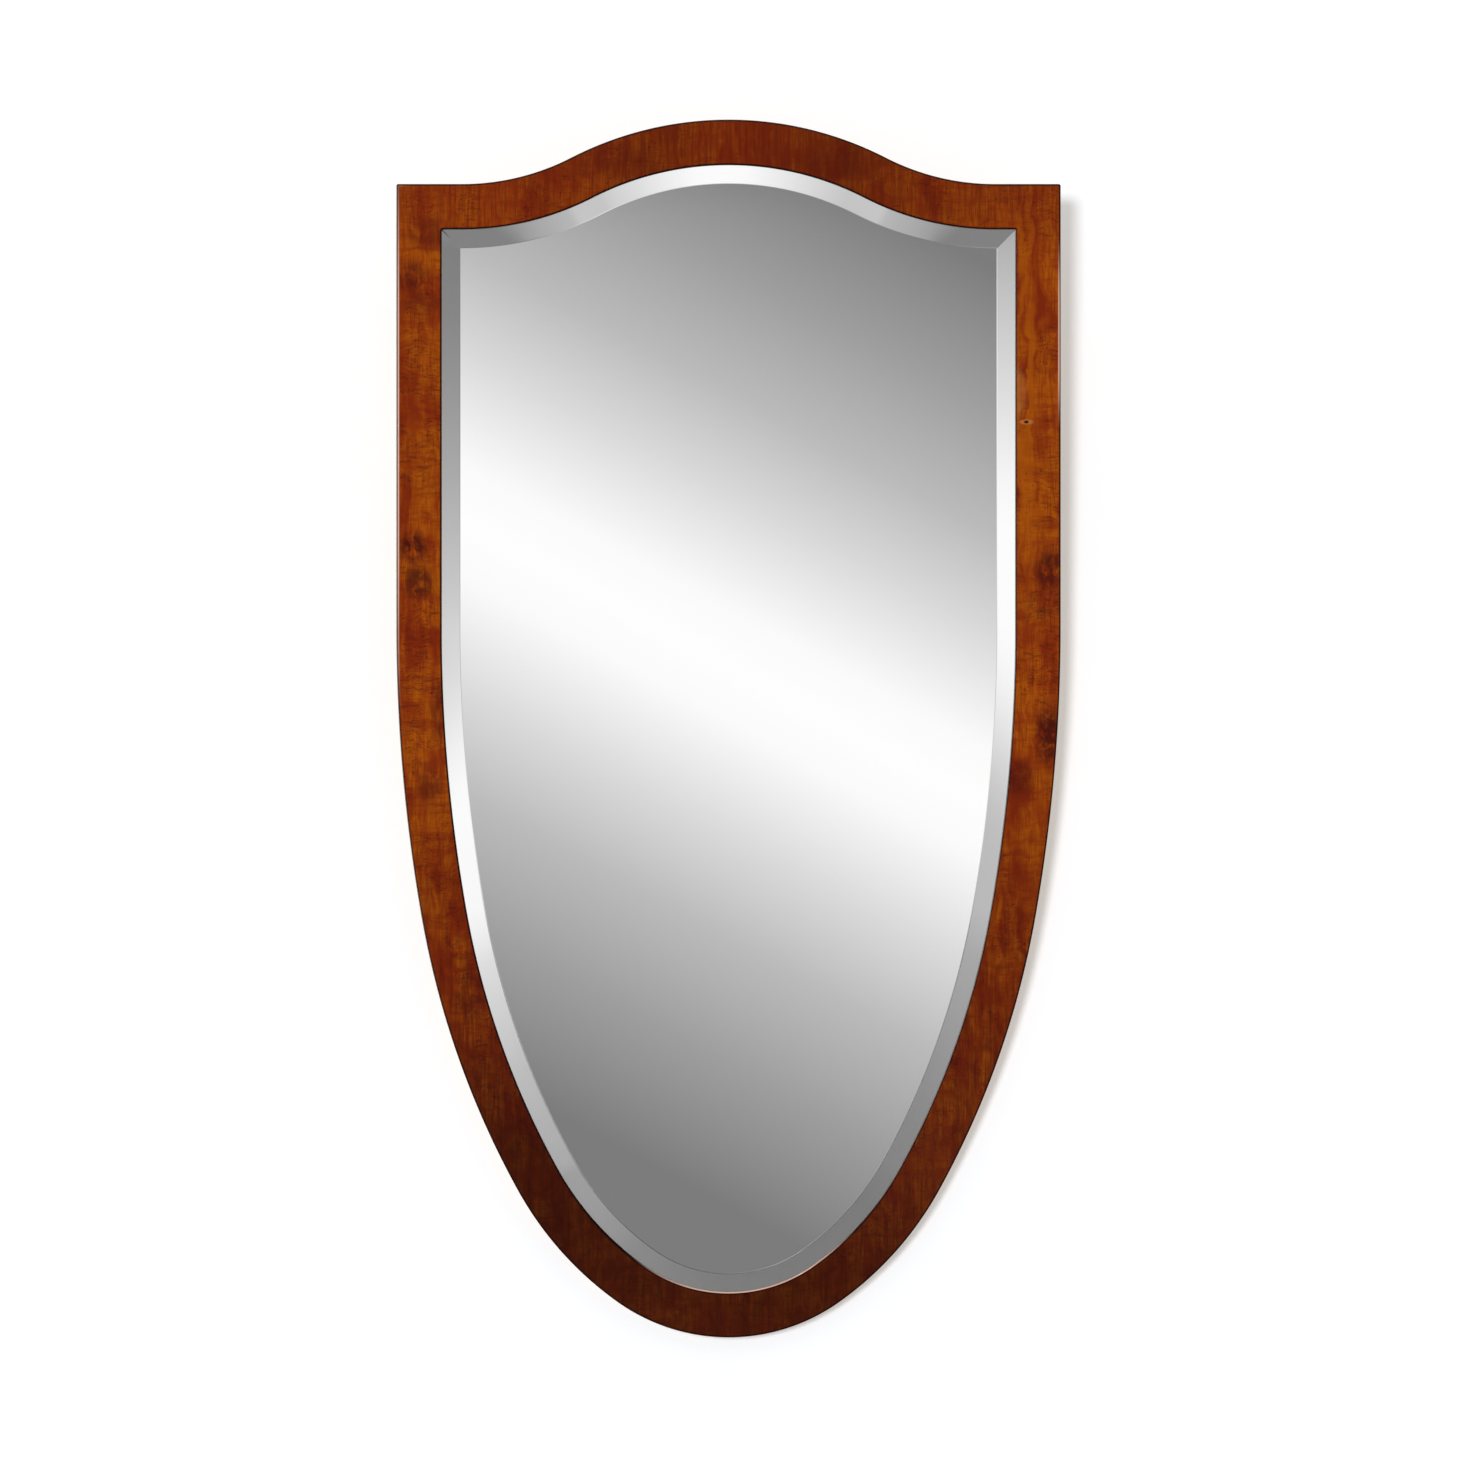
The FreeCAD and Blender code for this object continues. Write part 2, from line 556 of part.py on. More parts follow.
# Glazing blocks: short softwood pieces glued in the rabbet behind the plate, their free corner taken off.
block_profiles = []
for run, share in BLOCK_SHARES:
    spread = f"Sizes.block_length / (2 * Outline.{run}_run)"
    for _, side in HANDS:
        path = one_side([(run, f"{share} - {spread}", f"{share} + {spread}")], side)
        block_profiles.append(band(path, "Outline.rabbet_inset", path, "Sizes.band_width"))
for run, end in (("tip", ""), ("crest", "1 - ")):
    path = across([(run, 0, f"{end}Sizes.block_length / (2 * Outline.{run}_run)")])
    block_profiles.append(band(path, "Outline.rabbet_inset", path, "Sizes.band_width"))
glazing_blocks = new_body("glazing_blocks")
blocks = pad(glazing_blocks, block_profiles, "Outline.block_back", "Sizes.block_height")
doc.recompute()
free_edges = []
for corners in block_profiles:
    free_edges += profile_edges(blocks.Shape, corners, (len(corners) // 2,), "Outline.block_back")
dress(glazing_blocks, "Chamfer", blocks, free_edges, Size="Sizes.block_chamfer")


# Backboard: three thin pine boards side by side, screwed over the rabbet to the back of the frame.
def backboard(name, legs, runs, sides):
    """One board of the back, with the holes of its screws."""
    body = new_body(name)
    corners = outline(at_inset(legs, "Outline.board_inset"))
    pad(body, [corners], "Outline.board_back", "Sizes.board_thickness")
    places = [place for side in sides for place in board_screws(runs, side)]
    screw_holes(body, places, *BOARD_SCREW)


split_angle = "asin(Outline.board_split_x / (Outline.crest_radius - Outline.board_inset))"
split_share = f"1 - {split_angle} / Outline.crest_angle"
backboard("backboard_centre", across([("tip", 0, 1)]) + backwards(across([("crest", 1, split_share)])),
          ("tip", "crest"), (-1, 1))
side_board = [("flank", 0, 1), *SIDE, ("shoulder", 0, 1), ("hollow", 0, 1), ("crest", 0, split_share)]
for hand, side in HANDS:
    backboard(f"backboard_{hand}", one_side(side_board, side),
              ("flank", "bilge", "upper", "side", "hollow"), (side,))


# Screws: slotted brass, countersunk, with a plain pointed shank.
def screw_pattern(name, length):
    """One screw with its head at the origin, pointing to the front."""
    body = doc.addObject("PartDesign::Body", name)
    head = "Sizes.screw_head_diameter / 2"
    shank = "Sizes.screw_diameter / 2"
    profile = new_sketch(body, "XY_Plane", "0")
    draw(profile, [
        ("0", "0", None),
        ("0", f"-{length}", None),
        (shank, f"Sizes.screw_point_length - {length}", None),
        (shank, "-Sizes.screw_head_depth", None),
        (head, "0", None),
    ])
    turned = feature(body, "Revolution", profile)
    turned.ReferenceAxis = (profile, ["V_Axis"])
    slot_outline = new_sketch(body, "XY_Plane", "0")
    draw(slot_outline, [
        (f"-{head}", "-Sizes.screw_slot_depth", None),
        (head, "-Sizes.screw_slot_depth", None),
        (head, "0", None),
        (f"-{head}", "0", None),
    ])
    doc.recompute()
    slot = feature(body, "Pocket", slot_outline)
    slot.SideType = "Symmetric"
    slot.setExpression("Length", "Sizes.screw_slot_width")
    doc.recompute()
    assert slot.Shape.Volume < turned.Shape.Volume, f"{name}: the slot cuts nothing"
    return body


def screws(name, pattern, places, rear):
    """A node of equal screws, each with its head at a rear face."""
    copies = []
    for x, z in places:
        copy = doc.addObject("App::Link", f"{name}_copy")
        copy.LinkedObject = pattern
        copy.setExpression("Placement.Base.x", x)
        copy.setExpression("Placement.Base.y", f"-({rear})")
        copy.setExpression("Placement.Base.z", z)
        copies.append(copy)
    group = doc.addObject("Part::Compound", name)
    group.Label = name
    group.Links = copies


board_screw = screw_pattern("board_screw_pattern", "Sizes.board_screw_length")
every_run = [run for run, _ in BOARD_SCREW_SHARES]
screws("backboard_screws", board_screw,
       [place for _, side in HANDS for place in board_screws(every_run, side)], BOARD_SCREW[0])
strap_screw = screw_pattern("strap_screw_pattern", "Sizes.strap_screw_length")

for hand, side in HANDS:
    screws(f"{hand}_hanger_screws", strap_screw, strap_screws(side), STRAP_SCREW[0])

    # Strap: brass strip with its upper end curled round the bar of the ring; the pivot is its origin.
    strap = new_body(f"{hand}_hanger_strap")
    under = "-Outline.pivot_rise"
    face = "Sizes.strap_thickness - Outline.pivot_rise"
    strip = new_sketch(strap, "YZ_Plane", "0")
    draw(strip, [
        (under, "-Sizes.strap_length", None),
        (face, "-Sizes.strap_length", None),
        (face, "0", None),
        (under, "0", None),
    ])
    flat_part = feature(strap, "Pad", strip)
    flat_part.SideType = "Symmetric"
    flat_part.setExpression("Length", "Outline.strap_width")
    doc.recompute()
    low_corners = [f"Edge{number}" for number, edge in enumerate(flat_part.Shape.Edges, start=1)
                   if abs(edge.BoundBox.ZMax + measure("Sizes.strap_length")) < SAME_SPOT
                   and edge.BoundBox.XLength < SAME_SPOT]
    dress(strap, "Fillet", flat_part, low_corners, Radius="Sizes.strap_corner_radius")
    curl_outline = new_sketch(strap, "YZ_Plane", "0")
    centre = [("0", "0")]
    draw_circles(curl_outline, centre, "2 * (Outline.curl_bore + Sizes.strap_thickness)")
    draw_circles(curl_outline, centre, "2 * Outline.curl_bore")
    curl = feature(strap, "Pad", curl_outline)
    curl.SideType = "Symmetric"
    curl.setExpression("Length", "Outline.strap_width")
    screw_holes(strap, [("0", f"-Sizes.{drop}_screw_drop") for drop in ("first", "second")],
                "Outline.pivot_rise - Sizes.strap_thickness", "Sizes.strap_screw_length")
    strap.setExpression("Placement.Base.x", f"{side} * Outline.hanger_x")
    strap.setExpression("Placement.Base.y", "Outline.pivot_rise - Sizes.standoff")

    # Ring: one length of brass wire bent to a D, its ends butted in the curl; the pivot is its origin.
    ring = new_body(f"{hand}_hanger_ring")
    wire_path = new_sketch(ring, "XZ_Plane", "0")
    bend = "Sizes.ring_bend_radius"
    reach = "Outline.ring_half_width"
    drop = "-Sizes.ring_leg_drop"
    draw(wire_path, [
        ("Sizes.ring_seam / 2", "0", None),
        (f"{reach} - {bend}", "0", (f"{reach} - {bend}", f"-{bend}", bend)),
        (reach, f"-{bend}", None),
        (reach, drop, ("0", drop, reach)),
        ("0", f"{drop} - {reach}", ("0", drop, reach)),
        (f"-{reach}", drop, None),
        (f"-{reach}", f"-{bend}", (f"{bend} - {reach}", f"-{bend}", bend)),
        (f"{bend} - {reach}", "0", None),
        ("-Sizes.ring_seam / 2", "0", None),
    ], closed=False)
    wire_section = new_sketch(ring, "YZ_Plane", "Sizes.ring_seam / 2")
    draw_circles(wire_section, centre, "Sizes.wire_diameter")
    bent = feature(ring, "AdditivePipe", wire_section)
    bent.Spine = (wire_path, [])
    ring.setExpression("Placement.Base.x", f"{side} * Outline.hanger_x")
    ring.setExpression("Placement.Base.y", "Outline.pivot_rise - Sizes.standoff")

    # Bumper: rubber disc stuck to the back of the bottom rib, flat against the wall.
    bumper = new_body(f"{hand}_bumper")
    disc_outline = new_sketch(bumper, "XZ_Plane", "0")
    draw_circles(disc_outline, [point(BUMPER_RUN, BUMPER_SHARE, side, "Outline.hanger_inset")],
                 "Sizes.bumper_diameter")
    disc = feature(bumper, "Pad", disc_outline)
    disc.setExpression("Length", BACK)
    doc.recompute()
    rim = [f"Edge{number}" for number, edge in enumerate(disc.Shape.Edges, start=1)
           if abs(edge.BoundBox.YMin) < SAME_SPOT]
    dress(bumper, "Chamfer", disc, rim, Size="Sizes.bumper_chamfer")

doc.recompute()
for item in doc.Objects:
    failed = {"Invalid", "Error"} & set(item.State)
    assert not failed, f"{item.Label}: {item.State}"

nodes = [item for item in doc.Objects
         if item.TypeId in ("PartDesign::Body", "Part::Compound") and not item.Name.endswith("_pattern")]
for node in nodes:
    assert not node.Shape.isNull() and node.Shape.isValid(), f"{node.Label}: bad shape"

os.makedirs("parts", exist_ok=True)
for node in nodes:
    node.Shape.exportStep(f"parts/{node.Label}.step")
    solids = node.Shape.Solids
    print(node.Label, len(solids), "solids", round(sum(solid.Volume for solid in solids), 1), "mm3")
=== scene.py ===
import math

import bmesh
import bpy
import mathutils
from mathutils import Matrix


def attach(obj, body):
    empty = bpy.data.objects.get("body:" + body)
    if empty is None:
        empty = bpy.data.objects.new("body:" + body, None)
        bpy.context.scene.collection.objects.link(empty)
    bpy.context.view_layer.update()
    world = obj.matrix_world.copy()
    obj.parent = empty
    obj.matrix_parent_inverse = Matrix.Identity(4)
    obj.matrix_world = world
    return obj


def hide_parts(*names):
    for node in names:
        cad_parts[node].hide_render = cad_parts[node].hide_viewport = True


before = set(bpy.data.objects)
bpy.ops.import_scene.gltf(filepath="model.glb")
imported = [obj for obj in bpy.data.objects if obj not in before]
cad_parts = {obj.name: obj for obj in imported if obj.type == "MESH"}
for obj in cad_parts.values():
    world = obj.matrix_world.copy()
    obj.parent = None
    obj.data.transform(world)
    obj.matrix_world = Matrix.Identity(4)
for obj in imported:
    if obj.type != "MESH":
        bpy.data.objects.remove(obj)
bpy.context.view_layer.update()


# Pine ground of the frame: six sawn pieces, a domed top rail, two stiles, two lower ribs and a bottom rib,
# halved and glued where they cross. The face is veneered; the back is left as it was planed.

MM = 0.001
UPRIGHT_PIECES = ("left_stile", "right_stile", "left_lower_rib", "right_lower_rib")
LEVEL_PIECES = ("top_rail", "bottom_rib")
PINE_COLOURS = ("d3b080", "b5864f", "94693a")
PINE_LINE = 3.0
PINE_LENGTH = 160.0
LINE_DEPTH_SHARE = 4
PINE_FIBRE_SHARE = 0.25
PINE_TONE = (48.0, 48.0, 144.0)
PINE_RELIEF = 0.25
BOARD_APART = (0.31, 0.0, 0.47)


def colour(hex_value):
    """A written sRGB colour as the linear one that a shader takes."""
    parts = [int(hex_value[start:start + 2], 16) / 255 for start in (0, 2, 4)]
    linear = [part / 12.92 if part <= 0.04045 else ((part + 0.055) / 1.055) ** 2.4 for part in parts]
    return (*linear, 1.0)


def join(node, links):
    """Sets a node's inputs to values or written colours, or links them from nodes or outputs."""
    for name, source in links.items():
        if isinstance(source, bpy.types.Node):
            source = next(output for output in source.outputs if output.enabled)
        if isinstance(source, bpy.types.NodeSocket):
            node.id_data.links.new(source, node.inputs[name])
        else:
            node.inputs[name].default_value = colour(source) if isinstance(source, str) else source


def add(tree, kind, links=None, stops=(), **settings):
    """A node with its settings, its inputs joined, and its ramp's stops."""
    node = tree.nodes.new(kind)
    for name, value in settings.items():
        setattr(node, name, value)
    join(node, links or {})
    for index, (place, written) in enumerate(stops):
        points = node.color_ramp.elements
        point = points[index] if index < 2 else points.new(place)
        point.position = place
        point.color = colour(written)
    return node


def finish_named(name, settings):
    """A new material, its tree and its surface shader, which has the given settings."""
    material = bpy.data.materials.new(name)
    material.use_nodes = True
    surface = material.node_tree.nodes["Principled BSDF"]
    join(surface, settings)
    return material, material.node_tree, surface


def grain(tree, place, sizes, detail=2.0, roughness=0.5, distortion=0.0):
    """Irregular marks on the piece's own coordinates, so many millimetres long along x, y and z."""
    scale = tuple(1 / (size * MM) for size in sizes)
    mapped = add(tree, "ShaderNodeMapping", {"Vector": place, "Scale": scale})
    return add(tree, "ShaderNodeTexNoise", {
        "Vector": mapped, "Scale": 1.0, "Detail": detail, "Roughness": roughness, "Distortion": distortion})


def passing(tree, value, low, high, one, other, amount=1.0, mask=None):
    """A colour that passes into another, by an amount, where a value goes from one limit to the other."""
    limits = {"Value": value, "From Min": low, "From Max": high, "To Max": amount}
    share = add(tree, "ShaderNodeMapRange", limits, interpolation_type="SMOOTHSTEP")
    if mask:
        share = add(tree, "ShaderNodeMath", {0: share, 1: mask}, operation="MULTIPLY")
    return add(tree, "ShaderNodeMix", {0: share, 6: one, 7: other}, data_type="RGBA")


def planed_pine(name, colours, line, length, level=False):
    """Planed pine gone brown: growth lines along the grain, apart for each board, and browner in places."""
    material, tree, surface = finish_named(name, {"Roughness": 0.62, "IOR": 1.5})
    light, dark, aged = colours
    sizes = (line, line * LINE_DEPTH_SHARE, length)
    if level:
        sizes = sizes[::-1]
    place = add(tree, "ShaderNodeTexCoord").outputs["Object"]
    board = add(tree, "ShaderNodeAttribute", attribute_name="board").outputs["Fac"]
    apart = add(tree, "ShaderNodeVectorMath", {0: BOARD_APART, "Scale": board}, operation="SCALE")
    place = add(tree, "ShaderNodeVectorMath", {0: place, 1: apart}, operation="ADD")
    growth = grain(tree, place, sizes, distortion=0.3)
    fibre = grain(tree, place, [size * PINE_FIBRE_SHARE for size in sizes])
    tone = grain(tree, place, PINE_TONE, detail=1.0)
    wood = add(tree, "ShaderNodeValToRGB", {"Fac": growth}, ((0.38, light), (0.52, light), (0.64, dark)))
    wood = passing(tree, fibre, 0.4, 0.75, wood, dark, 0.35)
    wood = passing(tree, tone, 0.3, 0.8, wood, aged, 0.35)
    wood = passing(tree, board, 0.0, 2.0, wood, aged, 0.45)
    raised = add(tree, "ShaderNodeBump", {"Height": growth, "Distance": PINE_RELIEF * MM, "Strength": 1.0})
    join(surface, {"Base Color": wood, "Normal": raised})
    return material


def dress(node, material):
    """Gives a CAD piece its material."""
    for material_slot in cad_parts[node].material_slots:
        material_slot.material = material


# Planed pine, brown with age and bare: dull, with narrow darker lines of late wood that run with the grain,
# upright in the stiles and the lower ribs, and level in the top rail and the bottom rib.
upright_pine = planed_pine("planed_pine_upright", PINE_COLOURS, PINE_LINE, PINE_LENGTH)
level_pine = planed_pine("planed_pine_level", PINE_COLOURS, PINE_LINE, PINE_LENGTH, level=True)
for piece in UPRIGHT_PIECES:
    dress(piece, upright_pine)
for piece in LEVEL_PIECES:
    dress(piece, level_pine)


# Face veneer: six sawn leaves of flame mahogany, 1 mm thick, over the whole front, mitred at the two upper
# corners and butted at the ends of the lower curves. Its two long edges are eased, and it is french polished.

HALF_WIDTH = 300.0
OVERALL_HEIGHT = 1100.0
CREST_RISE = 58.2
BAND_WIDTH = 41.0
SHOULDER_Z = 260.0
HOLLOW_X = 240.8
CREST_RADIUS_SHARE = 0.5896
LOWER_ARCS = (("tip", 35.46, 0.3346), ("flank", 25.61, 0.2993), ("bilge", 18.88, 0.2892),
              ("upper", 10.05, 0.0769))
VENEER = 1.0
FACE_Y = -27.0
ARRIS_RADIUS = 0.8
ARRIS_STEPS = 4
FACE_STEPS = 12
OUTER_CORNER_RADIUS = 1.8
SIGHT_CORNER_RADII = {-1: 2.5, 1: 0.5}
SIGHT_ROUNDING = 3.0
STATION_SPACING = 3.0
CORNER_SPACING = 0.4
CORNER_STATIONS = 15
MERGE_DISTANCE = 0.002

arcs = {}
turned = 0.0
centre = (0.0, SHOULDER_Z + CREST_RISE - OVERALL_HEIGHT)
last_radius = 0.0
for run, turn, reach in LOWER_ARCS:
    finish_turn = turned + math.radians(turn)
    radius = HALF_WIDTH * reach / (math.sin(finish_turn) - math.sin(turned))
    shift = last_radius - radius
    centre = (centre[0] + shift * math.sin(turned), centre[1] - shift * math.cos(turned))
    arcs[run] = (centre, radius, turned, finish_turn, 1, -1, -1)
    turned = finish_turn
    last_radius = radius
SIDE_FOOT_Z = centre[1]
radii_sum = (HOLLOW_X ** 2 + CREST_RISE ** 2) / (2 * CREST_RISE)
crest_radius = radii_sum * CREST_RADIUS_SHARE
hollow_radius = radii_sum - crest_radius
crest_turn = math.asin(HOLLOW_X / radii_sum)
arcs["hollow"] = ((HOLLOW_X, SHOULDER_Z + hollow_radius), hollow_radius, 0.0, crest_turn, -1, -1, 1)
arcs["crest"] = ((0.0, SHOULDER_Z + CREST_RISE - crest_radius), crest_radius, crest_turn, 0.0, 1, 1, -1)


def outline_place(run, share, inset):
    """Place on the right-hand outline, moved inwards by an inset, in millimetres across and upwards."""
    if run == "side":
        return HALF_WIDTH - inset, SIDE_FOOT_Z + share * (SHOULDER_Z - inset - SIDE_FOOT_Z)
    if run == "shoulder":
        corner = HALF_WIDTH - inset
        return corner + share * (HOLLOW_X - corner), SHOULDER_Z - inset
    (x, z), radius, first, last, outward, upward, grow = arcs[run]
    angle = first + share * (last - first)
    reach = radius + grow * inset
    return x + outward * reach * math.sin(angle), z + upward * reach * math.cos(angle)


def rounded_corner(x, z, inset, side):
    """The same place, kept on the rounded upper corner of the outline or of the sight edge."""
    sight_radius = SIGHT_CORNER_RADII[side]
    if inset < OUTER_CORNER_RADIUS:
        corner_inset = OUTER_CORNER_RADIUS
        radius = OUTER_CORNER_RADIUS - inset
    elif inset > BAND_WIDTH - SIGHT_ROUNDING:
        corner_inset = BAND_WIDTH + sight_radius
        radius = corner_inset - inset
    else:
        return x, z
    out = x - (HALF_WIDTH - corner_inset)
    up = z - (SHOULDER_Z - corner_inset)
    if min(out, up) <= 0 or math.hypot(out, up) <= radius:
        return x, z
    shrink = radius / math.hypot(out, up)
    return x - out * (1 - shrink), z - up * (1 - shrink)


def stations(runs):
    """Stations along a path, as a run of the outline, a share of it and a side, closer at the corners."""
    found = []
    for run, first, last, side in runs:
        start = outline_place(run, first, 0.0)
        half = outline_place(run, (first + last) / 2, 0.0)
        end = outline_place(run, last, 0.0)
        length = math.dist(start, half) + math.dist(half, end)
        steps = max(2, round(length / STATION_SPACING))
        shares = [step / steps for step in range(steps + 1)]
        corner = {"side": 1, "shoulder": 0}.get(run)
        if corner in (first, last):
            near = [step * CORNER_SPACING / length for step in range(1, CORNER_STATIONS + 1)]
            shares += [1 - share for share in near] if corner == last else near
            shares = sorted({round(share, 7) for share in shares})
        for share in shares:
            if found and share == 0.0:
                continue
            found.append((run, first + (last - first) * share, side))
    return found


def plain_mesh(name, points, faces=()):
    """A mesh from its points, in metres, and its faces."""
    mesh = bpy.data.meshes.new(name)
    mesh.from_pydata(points, [], faces)
    return mesh


def mark(mesh, name, values):
    """Gives each point of a mesh a value that its material reads by name."""
    mesh.attributes.new(name, "FLOAT", "POINT").data.foreach_set("value", values)


def swept(name, runs, section):
    """A solid whose section, in pairs of inset and depth, follows a path of the outline."""
    path = stations(runs)
    points = []
    for run, share, side in path:
        for inset, depth in section:
            x, z = rounded_corner(*outline_place(run, share, inset), inset, side)
            points.append((side * x * MM, depth * MM, z * MM))
    around = len(section)
    along = len(path)
    faces = []
    for station in range(along - 1):
        for index in range(around):
            beside = (index + 1) % around
            faces.append((station * around + index, station * around + beside,
                          (station + 1) * around + beside, (station + 1) * around + index))
    faces.append(tuple(range(around))[::-1])
    faces.append(tuple((along - 1) * around + index for index in range(around)))
    mesh = plain_mesh(name, points, faces)
    mark(mesh, "inset", [inset for _ in path for inset, _ in section])
    return mesh


def mended(mesh, angle=30.0):
    """A mesh with its doubles merged, its faces outwards, and smooth but for edges over an angle."""
    stored_normals = mesh.attributes.get("custom_normal")
    if stored_normals:
        mesh.attributes.remove(stored_normals)
    work_mesh = bmesh.new()
    work_mesh.from_mesh(mesh)
    bmesh.ops.remove_doubles(work_mesh, verts=work_mesh.verts, dist=MERGE_DISTANCE * MM)
    bmesh.ops.recalc_face_normals(work_mesh, faces=work_mesh.faces)
    work_mesh.to_mesh(mesh)
    work_mesh.free()
    mesh.shade_smooth()
    mesh.set_sharp_from_angle(angle=math.radians(angle))
    return mesh


def placed(name, mesh, material, slot, *nodes, body="frame"):
    """Puts a finished piece in the scene, in place of its CAD nodes and moving with its body."""
    piece = bpy.data.objects.new(name, mesh)
    bpy.context.scene.collection.objects.link(piece)
    mesh.materials.clear()
    mesh.materials.append(material)
    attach(piece, body)
    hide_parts(*nodes)


# Runs of the outline that the leaves and strips follow on one side, each with its first and last share.
TOP = [("crest", 1, 0), ("hollow", 1, 0), ("shoulder", 1, 0)]
SIDE = [("bilge", 0, 1), ("upper", 0, 1), ("side", 0, 1)]
STILE = SIDE[2:]
LOWER = SIDE[:2]
BOTTOM = [("tip", 0, 1), ("flank", 0, 1)]


def one_side(runs, side):
    """A path up one side."""
    return [(run, first, last, side) for run, first, last in runs]


def across(runs):
    """A path over both sides, from the left end through the middle to the right end."""
    return [(run, last, first, -1) for run, first, last in reversed(runs)] + one_side(runs, 1)


def eased_section(width, back, front, radius):
    """Section of a leaf: a flat back, and a front face whose two edges are rounded."""
    turn = [math.pi / 2 * step / ARRIS_STEPS for step in range(ARRIS_STEPS + 1)]
    near = [(radius * (1 - math.cos(a)), front + radius * (1 - math.sin(a))) for a in turn]
    flat = [(radius + (width - 2 * radius) * step / FACE_STEPS, front) for step in range(1, FACE_STEPS)]
    far = [(width - inset, depth) for inset, depth in reversed(near)]
    return [(0.0, back)] + near + flat + far + [(width, back)]


# Flame mahogany under french polish. The wood is an amber brown with redder blotches, dark clouds where the
# fibres turn, fine dark pores that run upright and short level ripples; the polish is a clear shellac coat.
# The pores are a quarter of a millimetre wide in the wood and are drawn four times as coarse, to show.
MAHOGANY_BLACK = "170503"
MAHOGANY_DEEP = "42100a"
MAHOGANY_BROWN = "84331c"
MAHOGANY_RED = "7e2706"
MAHOGANY_WARM = "963d04"
MAHOGANY_AMBER = "ac5503"
# The next colour paints a highlight on the right stile.
PAINTED_HIGHLIGHT_PALE = "c47a3c"
# The next colour paints the highlights along the edges.
PAINTED_HIGHLIGHT_TINT = "e4b6a2"
NAIL_RIM = "d08a50"
CURL_SIZE = 25.0
CURL_REACH = 16.0
BLOTCH = (22.0, 40.0, 34.0)
BAND = (7.0, 40.0, 120.0)
BLOTCH_SHARE = 0.62
PORE = (1.1, 8.0, 24.0)
PORE_DEPTH = 0.02
FIBRE = (2.0, 20.0, 42.0)
WAVE = (48.0, 40.0, 7.0)
FINE_RIPPLE = (16.0, 20.0, 1.5)
DASH = (8.0, 20.0, 1.7)
DASH_PATCH = (26.0, 50.0, 34.0)
CLOUD = (10.0, 30.0, 14.0)
SPECKS_PER_METRE = (230.0, 60.0, 230.0)
POLISH_SWELL = (45.0, 45.0, 70.0)
SWELL_HEIGHT = 0.1
PATCH_HEART_SHARE = 0.35

# Places on the face, in metres: the middle and the half sizes of a patch, and how dark a cloud is.
DARK_CLOUDS = (
    (-0.285, -0.068, 0.018, 0.019, 0.9), (-0.280, -0.100, 0.020, 0.022, 0.75),
    (-0.286, 0.177, 0.022, 0.018, 0.65), (-0.279, 0.152, 0.022, 0.016, 0.45),
    (-0.268, 0.215, 0.030, 0.020, 0.5), (-0.270, -0.283, 0.016, 0.024, 0.5),
    (-0.262, -0.215, 0.010, 0.040, 0.5), (-0.232, -0.470, 0.020, 0.030, 0.5),
    (0.290, -0.088, 0.020, 0.026, 0.8), (0.283, -0.122, 0.024, 0.016, 0.4),
    (0.289, -0.238, 0.016, 0.040, 0.9), (0.262, -0.276, 0.018, 0.022, 0.6),
    (-0.105, 0.280, 0.050, 0.022, 0.4), (0.105, 0.280, 0.055, 0.024, 0.5))
AMBER_PLACE = (0.264, 0.080, 0.022, 0.24)
# The next patch is where the painted highlight lies on the right stile.
PAINTED_HIGHLIGHT_PLACE = (0.2620, 0.0720, 0.010, 0.030)
NAIL_RIM_PLACE = (0.2690, 0.0450, 0.0090, 0.0032)
NAIL_PLACE = (0.2690, 0.0450, 0.0032, 0.0020)
FOOT_PLACE = (0.0, -0.735, 0.250, 0.150)

# Heights and widths on the face, in metres, between which its look passes from one to the other.
RAIL_Z = (0.2, 0.24)
RAIL_RED_Z = (0.19, 0.235)
CREST_SHADE_Z = (0.205, 0.235)
LOWER_Z = (-0.3, -0.55)
BROWN_Z = (-0.45, -0.66)
SHADE_Z = (-0.79, -0.25)
SHADE_X = (-0.3, 0.3)
MIDDLE_X = (-0.03, 0.03)

# Painted shade: the face is darker towards the foot and on the slopes of the crest; these greys multiply the
# wood.
LEFT_SHADE = (
    (0.0, "a29e9e"), (0.06, "949090"), (0.12, "8a8686"), (0.21, "888484"), (0.33, "8c8686"), (0.45, "b8b2b2"),
    (0.61, "e6e0e0"), (0.78, "e4dede"), (1.0, "ffffff"))
RIGHT_SHADE = (
    (0.0, "948e8e"), (0.06, "908c8c"), (0.12, "8e8a8a"), (0.21, "aca8a8"), (0.33, "c4c0c0"), (0.45, "d0cccc"),
    (0.61, "dedcdc"), (0.78, "e8e6e6"), (0.95, "f7f6f6"), (1.0, "ffffff"))
CREST_SHADE = (
    (0.15, "ffffff"), (0.22, "ecebeb"), (0.31, "e4e2e2"), (0.38, "c6c2c2"), (0.5, "e2e0e0"), (0.61, "c8c4c4"),
    (0.68, "c0bcbc"), (0.76, "d8d6d6"), (0.85, "e8e6e6"), (0.92, "fafafa"))

# Insets between which the face goes black, which is painted shade along the sight edge and at the foot, and
# the pale
# lines of painted highlight on the edges: the patch of the face that each keeps to, its inset, and how strong
# it is.
OUTER_BLACK = (2.2, 0.8)
SIGHT_PAINTED_SHADE = (BAND_WIDTH - 2.2, BAND_WIDTH - 0.9)
FOOT_PAINTED_SHADE = (BAND_WIDTH - 2.9, BAND_WIDTH - 1.7)
HIGHLIGHT_LINE_REACH = (0.95, 0.45)
PAINTED_HIGHLIGHT_LINES = (
    (-0.300, 0.035, 0.020, 0.270, 1.9, 0.9), (0.300, 0.125, 0.020, 0.090, 1.6, 0.8),
    (0.030, -0.735, 0.135, 0.070, BAND_WIDTH - 0.5, 0.95))

